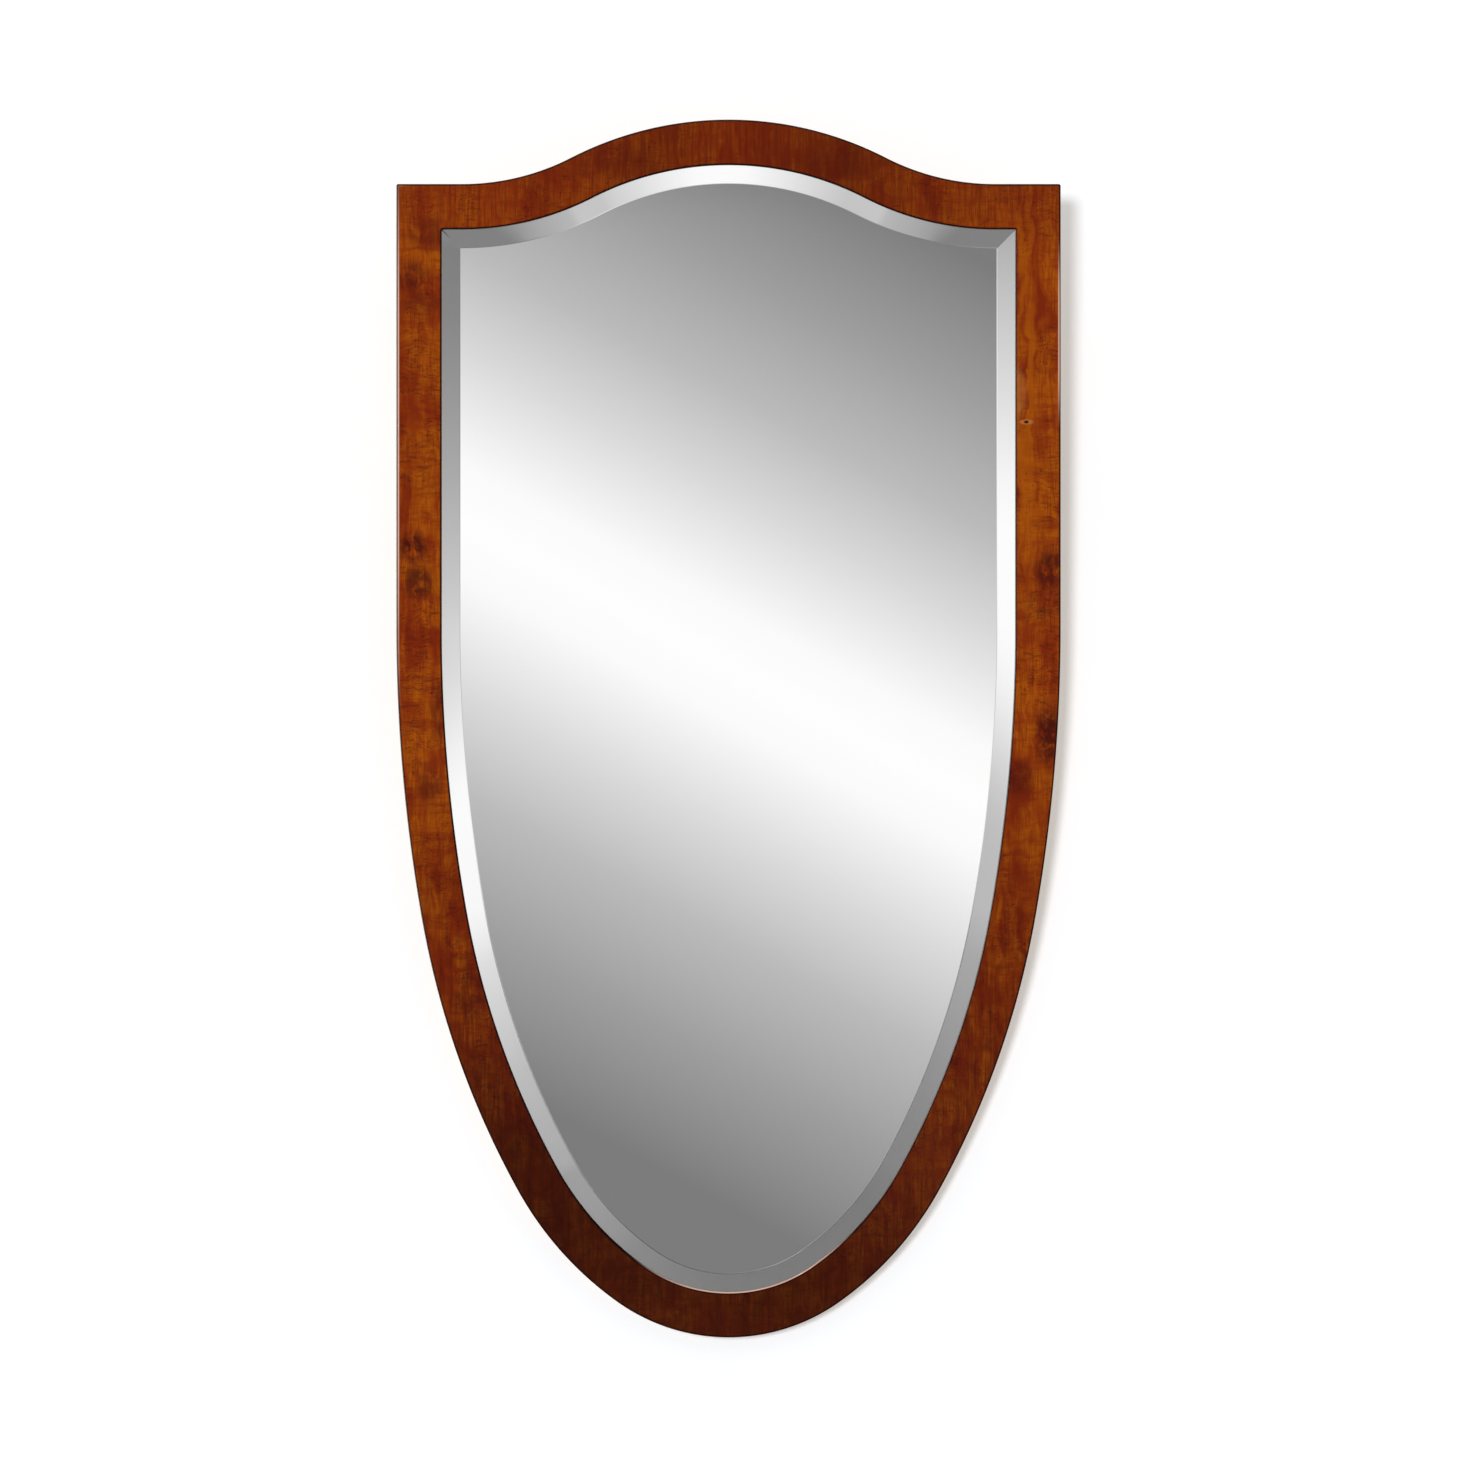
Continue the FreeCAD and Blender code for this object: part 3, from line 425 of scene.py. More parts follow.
flame_mahogany, tree, surface = finish_named("french_polished_mahogany", {
    "Roughness": 0.45, "IOR": 1.45, "Specular IOR Level": 0.05, "Coat Weight": 0.9, "Coat Roughness": 0.1})
place = add(tree, "ShaderNodeTexCoord").outputs["Object"]
curl = add(tree, "ShaderNodeTexNoise", {"Vector": place, "Scale": 1 / (CURL_SIZE * MM), "Detail": 2.0})
curl = add(tree, "ShaderNodeVectorMath", {0: curl.outputs["Color"], 1: (0.5, 0.5, 0.5)}, operation="SUBTRACT")
curl = add(tree, "ShaderNodeVectorMath", {0: curl, "Scale": CURL_REACH * MM}, operation="SCALE")
curled = add(tree, "ShaderNodeVectorMath", {0: place, 1: curl}, operation="ADD")
parts = add(tree, "ShaderNodeSeparateXYZ", {"Vector": place})
sideways = parts.outputs["X"]
upwards = parts.outputs["Z"]
inset = add(tree, "ShaderNodeAttribute", attribute_name="inset").outputs["Fac"]


def patch(middle_x, middle_z, half_x, half_z):
    """A soft oval patch of the face, given in metres: 1 in the middle and 0 outside."""
    middle = (middle_x, 0.0, middle_z)
    moved = add(tree, "ShaderNodeVectorMath", {0: place, 1: middle}, operation="SUBTRACT")
    scale = (1 / half_x, 0.0, 1 / half_z)
    sized = add(tree, "ShaderNodeVectorMath", {0: moved, 1: scale}, operation="MULTIPLY")
    far = add(tree, "ShaderNodeVectorMath", {0: sized}, operation="LENGTH").outputs["Value"]
    return add(tree, "ShaderNodeMapRange", {"Value": far, "From Min": 1.0, "From Max": PATCH_HEART_SHARE},
               interpolation_type="SMOOTHSTEP")


# The ground colour: upright bands and wider blotches, from red through brown to amber.
blotch = grain(tree, curled, BLOTCH, detail=3.0)
band = grain(tree, curled, BAND)
warmth = add(tree, "ShaderNodeMath", {0: blotch, 1: BLOTCH_SHARE}, operation="MULTIPLY")
warmth = add(tree, "ShaderNodeMath", {0: band, 1: 1 - BLOTCH_SHARE, 2: warmth}, operation="MULTIPLY_ADD")
wood = add(tree, "ShaderNodeValToRGB", {"Fac": warmth}, (
    (0.38, MAHOGANY_RED), (0.47, MAHOGANY_WARM), (0.57, MAHOGANY_AMBER), (0.66, MAHOGANY_WARM)))

# Fibre and pores: fine upright lines, stronger along the top rail and in the lower curves.
pores = grain(tree, place, PORE, detail=3.0, roughness=0.7)
wood = passing(tree, pores, 0.44, 0.62, wood, MAHOGANY_RED, 0.4)
wood = passing(tree, pores, 0.56, 0.7, wood, MAHOGANY_DEEP, 0.35)
fibre = grain(tree, place, FIBRE, detail=3.0, roughness=0.65)
rail_share, foot_share = [
    add(tree, "ShaderNodeMapRange", {"Value": upwards, "From Min": first, "From Max": last},
        interpolation_type="SMOOTHSTEP") for first, last in (RAIL_Z, LOWER_Z)]
plain_share = add(tree, "ShaderNodeMath", {0: rail_share, 1: foot_share}, operation="MAXIMUM")
wood = passing(tree, fibre, 0.44, 0.62, wood, MAHOGANY_DEEP, 0.45, plain_share)

# Ripples: level waves across the stiles, and short dark dashes in patches.
wave = grain(tree, curled, WAVE, detail=3.0, roughness=0.6)
wood = passing(tree, wave, 0.46, 0.64, wood, MAHOGANY_RED, 0.5)
fine_ripple = grain(tree, place, FINE_RIPPLE, roughness=0.6)
wood = passing(tree, fine_ripple, 0.52, 0.7, wood, MAHOGANY_RED, 0.35)
dash = grain(tree, curled, DASH, detail=3.0, roughness=0.6)
dash_patch = grain(tree, place, DASH_PATCH)
dash_share = add(tree, "ShaderNodeMapRange", {"Value": dash_patch, "From Min": 0.46, "From Max": 0.58},
                 interpolation_type="SMOOTHSTEP")
wood = passing(tree, dash, 0.5, 0.66, wood, MAHOGANY_DEEP, 0.46, dash_share)

# Dark clouds lie at one height on both stiles, because their leaves were cut next to each other.
cloud = grain(tree, curled, CLOUD, detail=4.0, roughness=0.7)
for *where, amount in DARK_CLOUDS:
    wood = passing(tree, cloud, 0.3, 0.56, wood, MAHOGANY_DEEP, amount, patch(*where))

# Round the foot the leaves are browner and mottled.
wood = passing(tree, upwards, *BROWN_Z, wood, MAHOGANY_BROWN, 0.32)
wood = passing(tree, cloud, 0.46, 0.62, wood, MAHOGANY_DEEP, 0.28, foot_share)

# The greys of painted shade lie over the wood. The top rail is redder, and one run of the right stile is
# amber.
height = add(tree, "ShaderNodeMapRange", {"Value": upwards, "From Min": SHADE_Z[0], "From Max": SHADE_Z[1]})
left_shade = add(tree, "ShaderNodeValToRGB", {"Fac": height}, LEFT_SHADE)
right_shade = add(tree, "ShaderNodeValToRGB", {"Fac": height}, RIGHT_SHADE)
low_shade = passing(tree, sideways, *MIDDLE_X, left_shade, right_shade)
width = add(tree, "ShaderNodeMapRange", {"Value": sideways, "From Min": SHADE_X[0], "From Max": SHADE_X[1]})
crest_shade = add(tree, "ShaderNodeValToRGB", {"Fac": width}, CREST_SHADE)
face_shade = passing(tree, upwards, *CREST_SHADE_Z, low_shade, crest_shade)
wood = add(tree, "ShaderNodeMix", {0: 1.0, 6: wood, 7: face_shade}, data_type="RGBA", blend_type="MULTIPLY")
wood = passing(tree, upwards, *RAIL_RED_Z, wood, MAHOGANY_RED, 0.3)
wood = passing(tree, band, 0.36, 0.56, wood, MAHOGANY_AMBER, 0.6, patch(*AMBER_PLACE))

# A painted highlight: a pale patch where a soft reflection lies on the right stile. Small black specks, and a
# filled nail hole with its pale rim.
wood = passing(tree, patch(*PAINTED_HIGHLIGHT_PLACE), 0.0, 1.0, wood, PAINTED_HIGHLIGHT_PALE, 0.3)
speck_place = add(tree, "ShaderNodeMapping", {"Vector": place, "Scale": SPECKS_PER_METRE})
speck = add(tree, "ShaderNodeTexVoronoi", {"Vector": speck_place, "Scale": 1.0}).outputs["Distance"]
wood = passing(tree, speck, 0.2, 0.08, wood, MAHOGANY_BLACK, 0.65, dash_share)
wood = passing(tree, patch(*NAIL_RIM_PLACE), 0.0, 1.0, wood, NAIL_RIM, 0.45)
wood = passing(tree, patch(*NAIL_PLACE), 0.0, 1.0, wood, MAHOGANY_BLACK, 0.95)

# The face goes near-black along both edges; along the sight edge, and wider at the foot, this is painted
# shade. Pale lines of painted highlight lie on the outer edges of the stiles and along the sight edge at the
# foot.
outer_edge, painted_sight_shade = [
    add(tree, "ShaderNodeMapRange", {"Value": inset, "From Min": first, "From Max": last},
        interpolation_type="SMOOTHSTEP") for first, last in (OUTER_BLACK, SIGHT_PAINTED_SHADE)]
black_and_shaded_edges = add(tree, "ShaderNodeMath", {0: outer_edge, 1: painted_sight_shade}, operation="MAXIMUM")
wood = passing(tree, black_and_shaded_edges, 0.0, 1.0, wood, MAHOGANY_BLACK, 0.92)
wood = passing(tree, inset, *FOOT_PAINTED_SHADE, wood, MAHOGANY_BLACK, 0.95, patch(*FOOT_PLACE))
for *where, line_inset, amount in PAINTED_HIGHLIGHT_LINES:
    off = add(tree, "ShaderNodeMath", {0: inset, 1: line_inset}, operation="SUBTRACT")
    off = add(tree, "ShaderNodeMath", {0: off}, operation="ABSOLUTE")
    wood = passing(tree, off, *HIGHLIGHT_LINE_REACH, wood, PAINTED_HIGHLIGHT_TINT, amount, patch(*where))
sunk = add(tree, "ShaderNodeBump", {"Height": pores, "Distance": PORE_DEPTH * MM, "Strength": 1.0})
swell = grain(tree, place, POLISH_SWELL, detail=1.0)
rolling = add(tree, "ShaderNodeBump", {"Height": swell, "Distance": SWELL_HEIGHT * MM, "Strength": 1.0})
join(surface, {"Base Color": wood, "Normal": sunk, "Coat Normal": rolling})

LEAVES = (
    ("top", across(TOP)),
    ("left_stile", one_side(STILE, -1)),
    ("right_stile", one_side(STILE, 1)),
    ("left_lower", one_side(LOWER, -1)),
    ("right_lower", one_side(LOWER, 1)),
    ("bottom", across(BOTTOM)),
)
leaf_section = eased_section(BAND_WIDTH, FACE_Y + VENEER, FACE_Y, ARRIS_RADIUS)
for leaf, runs in LEAVES:
    mesh = mended(swept(f"{leaf}_leaf", runs, leaf_section))
    placed(f"{leaf}_leaf", mesh, flame_mahogany, "mahogany_veneer", f"{leaf}_veneer")


# Edge veneers: strips of straight mahogany, 1 mm thick, bent and glued round the outside of the ground and
# round the sight edge of its lip, behind the face leaf. They are stained darker and polished with it.

GROUND_BACK_Y = -6.0
LIP_BACK_Y = -20.0
EDGINGS = (
    ("top", across(TOP)),
    ("left", one_side(SIDE, -1)),
    ("right", one_side(SIDE, 1)),
    ("bottom", across(BOTTOM)),
)
EDGING_TONES = ((0.35, "2c0d07"), (0.52, "4a1709"), (0.68, "63260d"))
EDGING_PORES = "240905"
EDGING_TONE = (70.0, 14.0, 70.0)
EDGING_PORE = (9.0, 0.9, 9.0)
EDGING_PORE_DEPTH = 0.04

# Straight mahogany, stained: the pores run along the strip and the tone hardly changes.
edge_mahogany, tree, surface = finish_named("stained_mahogany_edging", {
    "Roughness": 0.4, "IOR": 1.5, "Specular IOR Level": 0.1, "Coat Weight": 0.12, "Coat Roughness": 0.2})
place = add(tree, "ShaderNodeTexCoord").outputs["Object"]
tone = grain(tree, place, EDGING_TONE, detail=3.0, roughness=0.6, distortion=0.4)
pores = grain(tree, place, EDGING_PORE, detail=3.0, roughness=0.7)
wood = add(tree, "ShaderNodeValToRGB", {"Fac": tone}, EDGING_TONES)
wood = passing(tree, pores, 0.5, 0.7, wood, EDGING_PORES, 0.5)
sunk = add(tree, "ShaderNodeBump", {"Height": pores, "Distance": EDGING_PORE_DEPTH * MM, "Strength": 1.0})
join(surface, {"Base Color": wood, "Normal": sunk})

front = FACE_Y + VENEER
for strip, runs in EDGINGS:
    for kind, near, back in (("edge", 0.0, GROUND_BACK_Y), ("sight", BAND_WIDTH - VENEER, LIP_BACK_Y)):
        section = [(near, back), (near, front), (near + VENEER, front), (near + VENEER, back)]
        mesh = mended(swept(f"{strip}_{kind}_strip", runs, section))
        placed(f"{strip}_{kind}_strip", mesh, edge_mahogany, "mahogany_veneer", f"{strip}_{kind}_veneer")


# Mirror plate: 6 mm plate glass, its face polished flat and its edge ground down 3 mm over a 23 mm bevel,
# then silvered on the back. It lies in the rabbet with the bevel against the lip.

PLATE_INSET = 34.5
FLAT_INSET = 57.5
PLATE_FRONT_Y = -21.95
PLATE_BACK_Y = -15.95
BEVEL_DROP = 3.0
SILVER_OVERLAP = 0.1
LOWER_STEEPER = 0.19
HOLLOW_STEEPER = 0.3
LOWER_STEEPENING_Z = (-60.0, -430.0)
HOLLOW_STEEPENING_X = (112.0, 190.0)

round_path = across(BOTTOM)
round_path += one_side(SIDE, 1) + [("shoulder", 0, 1, 1), ("hollow", 0, 1, 1), ("crest", 0, 1, 1)]
round_path += [("crest", 1, 0, -1), ("hollow", 1, 0, -1), ("shoulder", 1, 0, -1)]
round_path += [(run, 1, 0, -1) for run in ("side", "upper", "bilge")]


def eased_share(value, first, last):
    """How far a value is from one limit to another, eased at both ends."""
    share = min(1.0, max(0.0, (value - first) / (last - first)))
    return share * share * (3 - 2 * share)


def bevel_steepness(run, x, z):
    """How much steeper than the straight sides the bevel is: it is ground by hand round the curves."""
    if run in ("crest", "hollow", "shoulder"):
        return 1 + HOLLOW_STEEPER * eased_share(abs(x), *HOLLOW_STEEPENING_X)
    return 1 + LOWER_STEEPER * eased_share(z, *LOWER_STEEPENING_Z)


def bevelled_plate():
    """The closed plate: an upright edge, the sloping bevel, and one flat face front and back."""
    path = stations(round_path)[:-1]
    rows = ((PLATE_INSET, PLATE_BACK_Y + SILVER_OVERLAP), (PLATE_INSET, PLATE_FRONT_Y + BEVEL_DROP),
            (FLAT_INSET, PLATE_FRONT_Y))
    points = []
    for inset, depth in rows:
        for run, share, side in path:
            x, z = outline_place(run, share, inset)
            ground_off = (bevel_steepness(run, x, z) - 1) * BEVEL_DROP if inset == PLATE_INSET else 0.0
            y = depth + ground_off if depth < PLATE_BACK_Y else depth
            points.append((side * x * MM, y * MM, z * MM))
    count = len(path)
    faces = []
    for row in range(len(rows) - 1):
        for station in range(count):
            ahead = (station + 1) % count
            faces.append((row * count + station, row * count + ahead,
                          (row + 1) * count + ahead, (row + 1) * count + station))
    faces.append(tuple(range(count)))
    faces.append(tuple(range(2 * count, 3 * count)))
    mesh = plain_mesh("bevelled_plate", points, faces)
    mark(mesh, "inset", [inset for inset, _ in rows for _ in path])
    return mended(mesh, 5.0)


# Plate glass: polished and clear, very slightly green in its thickness. At the foot, where the bevel is
# ground by hand,
# its inner edge is tinted grey: painted shade over a bright line that the glass shows there.
GLASS_CLEAR = "feffff"
GLASS_PAINTED_SHADE = "747474"
SHADED_EDGE_INSET = (57.0, 57.2)
SHADED_EDGE_Z = (-0.33, -0.42)
FLAT_FACING = 0.998

plate_glass, tree, surface = finish_named("polished_plate_glass", {
    "Roughness": 0.0, "IOR": 1.52, "Transmission Weight": 1.0})
inset = add(tree, "ShaderNodeAttribute", attribute_name="inset").outputs["Fac"]
true_normal = add(tree, "ShaderNodeNewGeometry").outputs["True Normal"]
facing = add(tree, "ShaderNodeSeparateXYZ", {"Vector": true_normal})
facing = add(tree, "ShaderNodeMath", {0: facing.outputs["Y"]}, operation="ABSOLUTE")
on_bevel = add(tree, "ShaderNodeMath", {0: facing, 1: FLAT_FACING}, operation="LESS_THAN")
upwards = add(tree, "ShaderNodeSeparateXYZ", {"Vector": add(tree, "ShaderNodeTexCoord").outputs["Object"]})
foot = add(tree, "ShaderNodeMapRange", {
    "Value": upwards.outputs["Z"], "From Min": SHADED_EDGE_Z[0], "From Max": SHADED_EDGE_Z[1]})
# Painted shade: grey on the inner edge of the bevel at the foot.
bevel_edge_shade = add(tree, "ShaderNodeMath", {0: on_bevel, 1: foot}, operation="MULTIPLY")
clear = passing(tree, inset, *SHADED_EDGE_INSET, GLASS_CLEAR, GLASS_PAINTED_SHADE, 1.0, bevel_edge_shade)
join(surface, {"Base Color": clear})
placed("bevelled_plate", bevelled_plate(), plate_glass, "plate_glass", "mirror_plate")

# Silver on the back of the glass, with its copper and paint: a mirror seen through the plate.
silver_coat, tree, surface = finish_named("silvering", {
    "Base Color": "f6f6f5", "Metallic": 1.0, "Roughness": 0.0})
dress("silvering", silver_coat)


# Glazing blocks: sixteen short softwood blocks, each glued into the rabbet behind the plate and planed off
# on its free corner. They hold the glass against the lip, and the backboard covers them.

dress("glazing_blocks", upright_pine)


# Backboard: three thin planed pine boards side by side, upright, screwed over the rabbet to the back of the
# frame. They keep dust from the silvering. Their rear edges are eased with a plane, which shows at each
# joint.

BOARD_COLOURS = ("c9a673", "a0733d", "805a33")
BOARD_LINE = 4.0
BOARD_LENGTH = 300.0
BOARD_EASING = 1.5
BOARD_BACK_Y = -2.0
JOINT_X = 85.88
SAME_CUT = 0.001
SAME_PLANE = 0.01


def eased_board(node, number, joints):
    """A board with its rear edge planed off at each joint, and its number, which sets its grain apart."""
    mesh = mended(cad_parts[node].data.copy())
    shape = bmesh.new()
    shape.from_mesh(mesh)
    for joint, inwards in joints:
        start = (joint + inwards * BOARD_EASING) * MM
        bmesh.ops.bisect_plane(shape, geom=shape.verts[:] + shape.edges[:] + shape.faces[:],
                               plane_co=(start, 0, 0), plane_no=(1, 0, 0), dist=SAME_CUT * MM)
        for vert in shape.verts:
            beyond = (start - vert.co.x) * inwards
            if beyond > 0 and abs(vert.co.y - BOARD_BACK_Y * MM) < SAME_PLANE * MM:
                vert.co.y -= beyond
    shape.to_mesh(mesh)
    shape.free()
    mark(mesh, "board", [number] * len(mesh.vertices))
    return mended(mesh, 20.0)


# Pine boards, browner than the ground because they are open to the air: wider lines, each board its own.
board_pine = planed_pine("aged_pine_board", BOARD_COLOURS, BOARD_LINE, BOARD_LENGTH)
for board, number, joints in (
        ("left", 0, ((-JOINT_X, -1),)),
        ("centre", 2, ((-JOINT_X, 1), (JOINT_X, -1))),
        ("right", 1, ((JOINT_X, 1),))):
    placed(f"{board}_back_board", eased_board(f"backboard_{board}", number, joints), board_pine, "pine_board",
           f"backboard_{board}")


# Brass screws: slotted and countersunk, eighteen in the backboard and two in each hanger, turned in by hand
# until the head is flush, so that no two slots stand alike.

BOARD_SCREW_LENGTH = 15.0
STRAP_SCREW_LENGTH = 14.0
HEAD_RADIUS = 2.8
HEAD_DEPTH = 1.5
SHANK_RADIUS = 1.5
POINT_LENGTH = 3.0
SLOT_HALF = 0.4
SLOT_DEPTH = 0.6
SLOT_TURN = 1.3
HALF_RING = 12
BOARD_SCREW_INSET = 29.0
BOARD_SCREW_SHARES = (("tip", 0.5), ("flank", 0.75), ("bilge", 0.45), ("upper", 0.1), ("upper", 0.8),
                      ("side", 0.45), ("side", 0.95), ("hollow", 0.5), ("crest", 0.7))
BOARD_SCREW_SEED = 3
STRAP_FACE_Y = -5.0
STRAP_SCREW_X = 287.5
STRAP_SCREW_Z = (-9.0, -28.0)
STRAP_SCREW_SEEDS = {"left": 5, "right": 8}

# Dulled brass: yellow metal that has gone brown in spots, where it is also less bright.
BRASS_TONES = ((0.3, "8d6a3a"), (0.5, "b18c50"), (0.7, "c4a266"))
TARNISH = (9.0, 9.0, 9.0)

brass, tree, surface = finish_named("dulled_brass", {"Metallic": 1.0})
place = add(tree, "ShaderNodeTexCoord").outputs["Object"]
tarnish = grain(tree, place, TARNISH, detail=3.0)
metal = add(tree, "ShaderNodeValToRGB", {"Fac": tarnish}, BRASS_TONES)
dulled = add(tree, "ShaderNodeMapRange", {
    "Value": tarnish, "From Min": 0.3, "From Max": 0.7, "To Min": 0.5, "To Max": 0.28})
join(surface, {"Base Color": metal, "Roughness": dulled})


def slotted_screw(name, length):
    """One screw with the middle of its head at the origin, its slot along x and its point to the front."""
    floor_radius = HEAD_RADIUS - (HEAD_RADIUS - SHANK_RADIUS) * SLOT_DEPTH / HEAD_DEPTH
    half_ring = HALF_RING + 1
    ring = 2 * half_ring
    points = []
    for depth, radius in ((0.0, HEAD_RADIUS), (SLOT_DEPTH, floor_radius), (HEAD_DEPTH, SHANK_RADIUS),
                          (length - POINT_LENGTH, SHANK_RADIUS)):
        first = math.asin(SLOT_HALF / radius)
        for half in (0.0, math.pi):
            for step in range(half_ring):
                angle = half + first + (math.pi - 2 * first) * step / HALF_RING
                points.append((radius * math.cos(angle) * MM, -depth * MM, radius * math.sin(angle) * MM))
    tip = len(points)
    points.append((0.0, -length * MM, 0.0))
    faces = [tuple(range(half_ring)), tuple(range(half_ring, ring))]
    faces.append((ring, ring + HALF_RING, ring + half_ring, 2 * ring - 1))
    for start in (0, half_ring):
        faces.append((start, start + HALF_RING, ring + start + HALF_RING, ring + start))
        faces += [(start + step, start + step + 1, ring + start + step + 1, ring + start + step)
                  for step in range(HALF_RING)]
    for level in (1, 2):
        faces += [(level * ring + step, level * ring + (step + 1) % ring,
                   (level + 1) * ring + (step + 1) % ring, (level + 1) * ring + step) for step in range(ring)]
    faces += [(3 * ring + step, 3 * ring + (step + 1) % ring, tip) for step in range(ring)]
    return bpy.data.objects.new(name, mended(plain_mesh(name, points, faces)))


# Geometry nodes that set one screw at each point, turned about its own axis by a fixed draw.
screw_tree = bpy.data.node_groups.new("set_screws", "GeometryNodeTree")
for socket, kind in (("Places", "Geometry"), ("Screw", "Object"), ("Largest turn", "Float"), ("Seed", "Int"),
                     ("Metal", "Material")):
    screw_tree.interface.new_socket(socket, in_out="INPUT", socket_type=f"NodeSocket{kind}")
screw_tree.interface.new_socket("Screws", in_out="OUTPUT", socket_type="NodeSocketGeometry")
given = add(screw_tree, "NodeGroupInput").outputs
least = add(screw_tree, "ShaderNodeMath", {0: given["Largest turn"], 1: -1.0}, operation="MULTIPLY")
turn = add(screw_tree, "FunctionNodeRandomValue", {
    2: least, 3: given["Largest turn"], "Seed": given["Seed"]}, data_type="FLOAT")
turn = add(screw_tree, "ShaderNodeCombineXYZ", {"Y": turn})
one_screw = add(screw_tree, "GeometryNodeObjectInfo", {"Object": given["Screw"]}).outputs["Geometry"]
settled = add(screw_tree, "GeometryNodeInstanceOnPoints", {
    "Points": given["Places"], "Instance": one_screw, "Rotation": turn})
real = add(screw_tree, "GeometryNodeRealizeInstances", {"Geometry": settled})
coated = add(screw_tree, "GeometryNodeSetMaterial", {"Geometry": real, "Material": given["Metal"]})
add(screw_tree, "NodeGroupOutput", {"Screws": coated})


def set_screws(name, places, screw, seed):
    """The plain mesh of a row of screws, set at places given in millimetres."""
    points = [(x * MM, y * MM, z * MM) for x, y, z in places]
    holder = bpy.data.objects.new(name, plain_mesh(name, points))
    bpy.context.scene.collection.objects.link(holder)
    modifier = holder.modifiers.new("screws", "NODES")
    modifier.node_group = screw_tree
    settings = {"Screw": screw, "Largest turn": SLOT_TURN, "Seed": seed, "Metal": brass}
    for socket in screw_tree.interface.items_tree:
        if socket.name in settings:
            modifier[socket.identifier] = settings[socket.name]
    seen = holder.evaluated_get(bpy.context.evaluated_depsgraph_get())
    mesh = bpy.data.meshes.new_from_object(seen)
    holder.modifiers.remove(modifier)
    bpy.data.objects.remove(holder)
    return mended(mesh)


board_screw = slotted_screw("board_screw", BOARD_SCREW_LENGTH)
strap_screw = slotted_screw("strap_screw", STRAP_SCREW_LENGTH)
places = []
for side in (-1, 1):
    for run, share in BOARD_SCREW_SHARES:
        x, z = outline_place(run, share, BOARD_SCREW_INSET)
        places.append((side * x, BOARD_BACK_Y, z))
placed("board_screws", set_screws("board_screws", places, board_screw, BOARD_SCREW_SEED), brass, "brass",
       "backboard_screws")
for hand, side in (("left", -1), ("right", 1)):
    places = [(side * STRAP_SCREW_X, STRAP_FACE_Y, z) for z in STRAP_SCREW_Z]
    mesh = set_screws(f"{hand}_strap_screws", places, strap_screw, STRAP_SCREW_SEEDS[hand])
    placed(f"{hand}_strap_screws", mesh, brass, "brass", f"{hand}_hanger_screws")
for screw in (board_screw, strap_screw):
    bpy.data.objects.remove(screw)


# Hangers: a strap of brass strip on each stile with its upper end curled round the bar of a wire ring. The
# ring swings on the curl; the strap is held by its two screws.

BEND_ANGLE = 35.0


def smooth_copy(node):
    """A CAD node's mesh, merged and smooth over its bends."""
    return mended(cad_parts[node].data.copy(), BEND_ANGLE)


for hand in ("left", "right"):
    placed(f"{hand}_strap", smooth_copy(f"{hand}_hanger_strap"), brass, "brass", f"{hand}_hanger_strap")
    placed(f"{hand}_wire_ring", smooth_copy(f"{hand}_hanger_ring"), brass, "brass", f"{hand}_hanger_ring",
           body=f"{hand}_ring")


# Bumpers: two moulded rubber discs, stuck on near the foot, that keep the frame off the wall and stop it from
# sliding. The rubber is black and matt, grey with dust.

DUST = (2.0, 2.0, 2.0)

rubber, tree, surface = finish_named("black_rubber", {"Roughness": 0.75})
place = add(tree, "ShaderNodeTexCoord").outputs["Object"]
dust = grain(tree, place, DUST, detail=3.0)
black = add(tree, "ShaderNodeValToRGB", {"Fac": dust}, ((0.4, "1c1a18"), (0.7, "3a3632")))
join(surface, {"Base Color": black})
for hand in ("left", "right"):
    placed(f"{hand}_rubber_disc", smooth_copy(f"{hand}_bumper"), rubber, "rubber", f"{hand}_bumper")


# Studio: a white painted wall just behind the mirror, which takes its shadow and is seen from the front
# alone, and a pale floor under it. The wall leans away at the top, because a mirror on a wire hangs a little
# forward.

WALL_HALF = 4.0
WALL_Y = 0.0005
WALL_LEAN = 0.08
FOOT_Z = (SHOULDER_Z + CREST_RISE - OVERALL_HEIGHT) * MM
FLOOR_Z = -1.3
FLOOR_HALF = 6
FLOOR_FRONT = -12
FLOOR_REAR = 8


def stage_plane(name, half_width, front, rear, material):
    """A flat stage surface between two edges, each at a y and a z, that the light sees and the mirror not."""
    corners = [(-half_width, *front), (half_width, *front), (half_width, *rear), (-half_width, *rear)]
    mesh = plain_mesh(name, corners, [(0, 1, 2, 3)])
    mesh.materials.append(material)
    plane = bpy.data.objects.new(name, mesh)
    bpy.context.scene.collection.objects.link(plane)
    plane.visible_glossy = False
    plane.visible_transmission = False
    plane.visible_shadow = False
    plane.visible_diffuse = False


# White emulsion wall: matt, a little lit by itself, and clear from behind so that the mirror's back is seen.
wall_paint, tree, surface = finish_named("white_wall_paint", {
    "Base Color": "f8fbff", "Roughness": 1.0, "Specular IOR Level": 0.0, "Emission Color": "ffffff",
    "Emission Strength": 0.2})
behind = add(tree, "ShaderNodeNewGeometry").outputs["Backfacing"]
clear = add(tree, "ShaderNodeBsdfTransparent").outputs["BSDF"]
one_sided = add(tree, "ShaderNodeMixShader", {0: behind, 1: surface.outputs["BSDF"], 2: clear})
join(tree.nodes["Material Output"], {"Surface": one_sided})
wall_foot = WALL_Y + WALL_LEAN * (-WALL_HALF - FOOT_Z)
wall_head = WALL_Y + WALL_LEAN * (WALL_HALF - FOOT_Z)
stage_plane("wall", WALL_HALF, (wall_foot, -WALL_HALF), (wall_head, WALL_HALF), wall_paint)

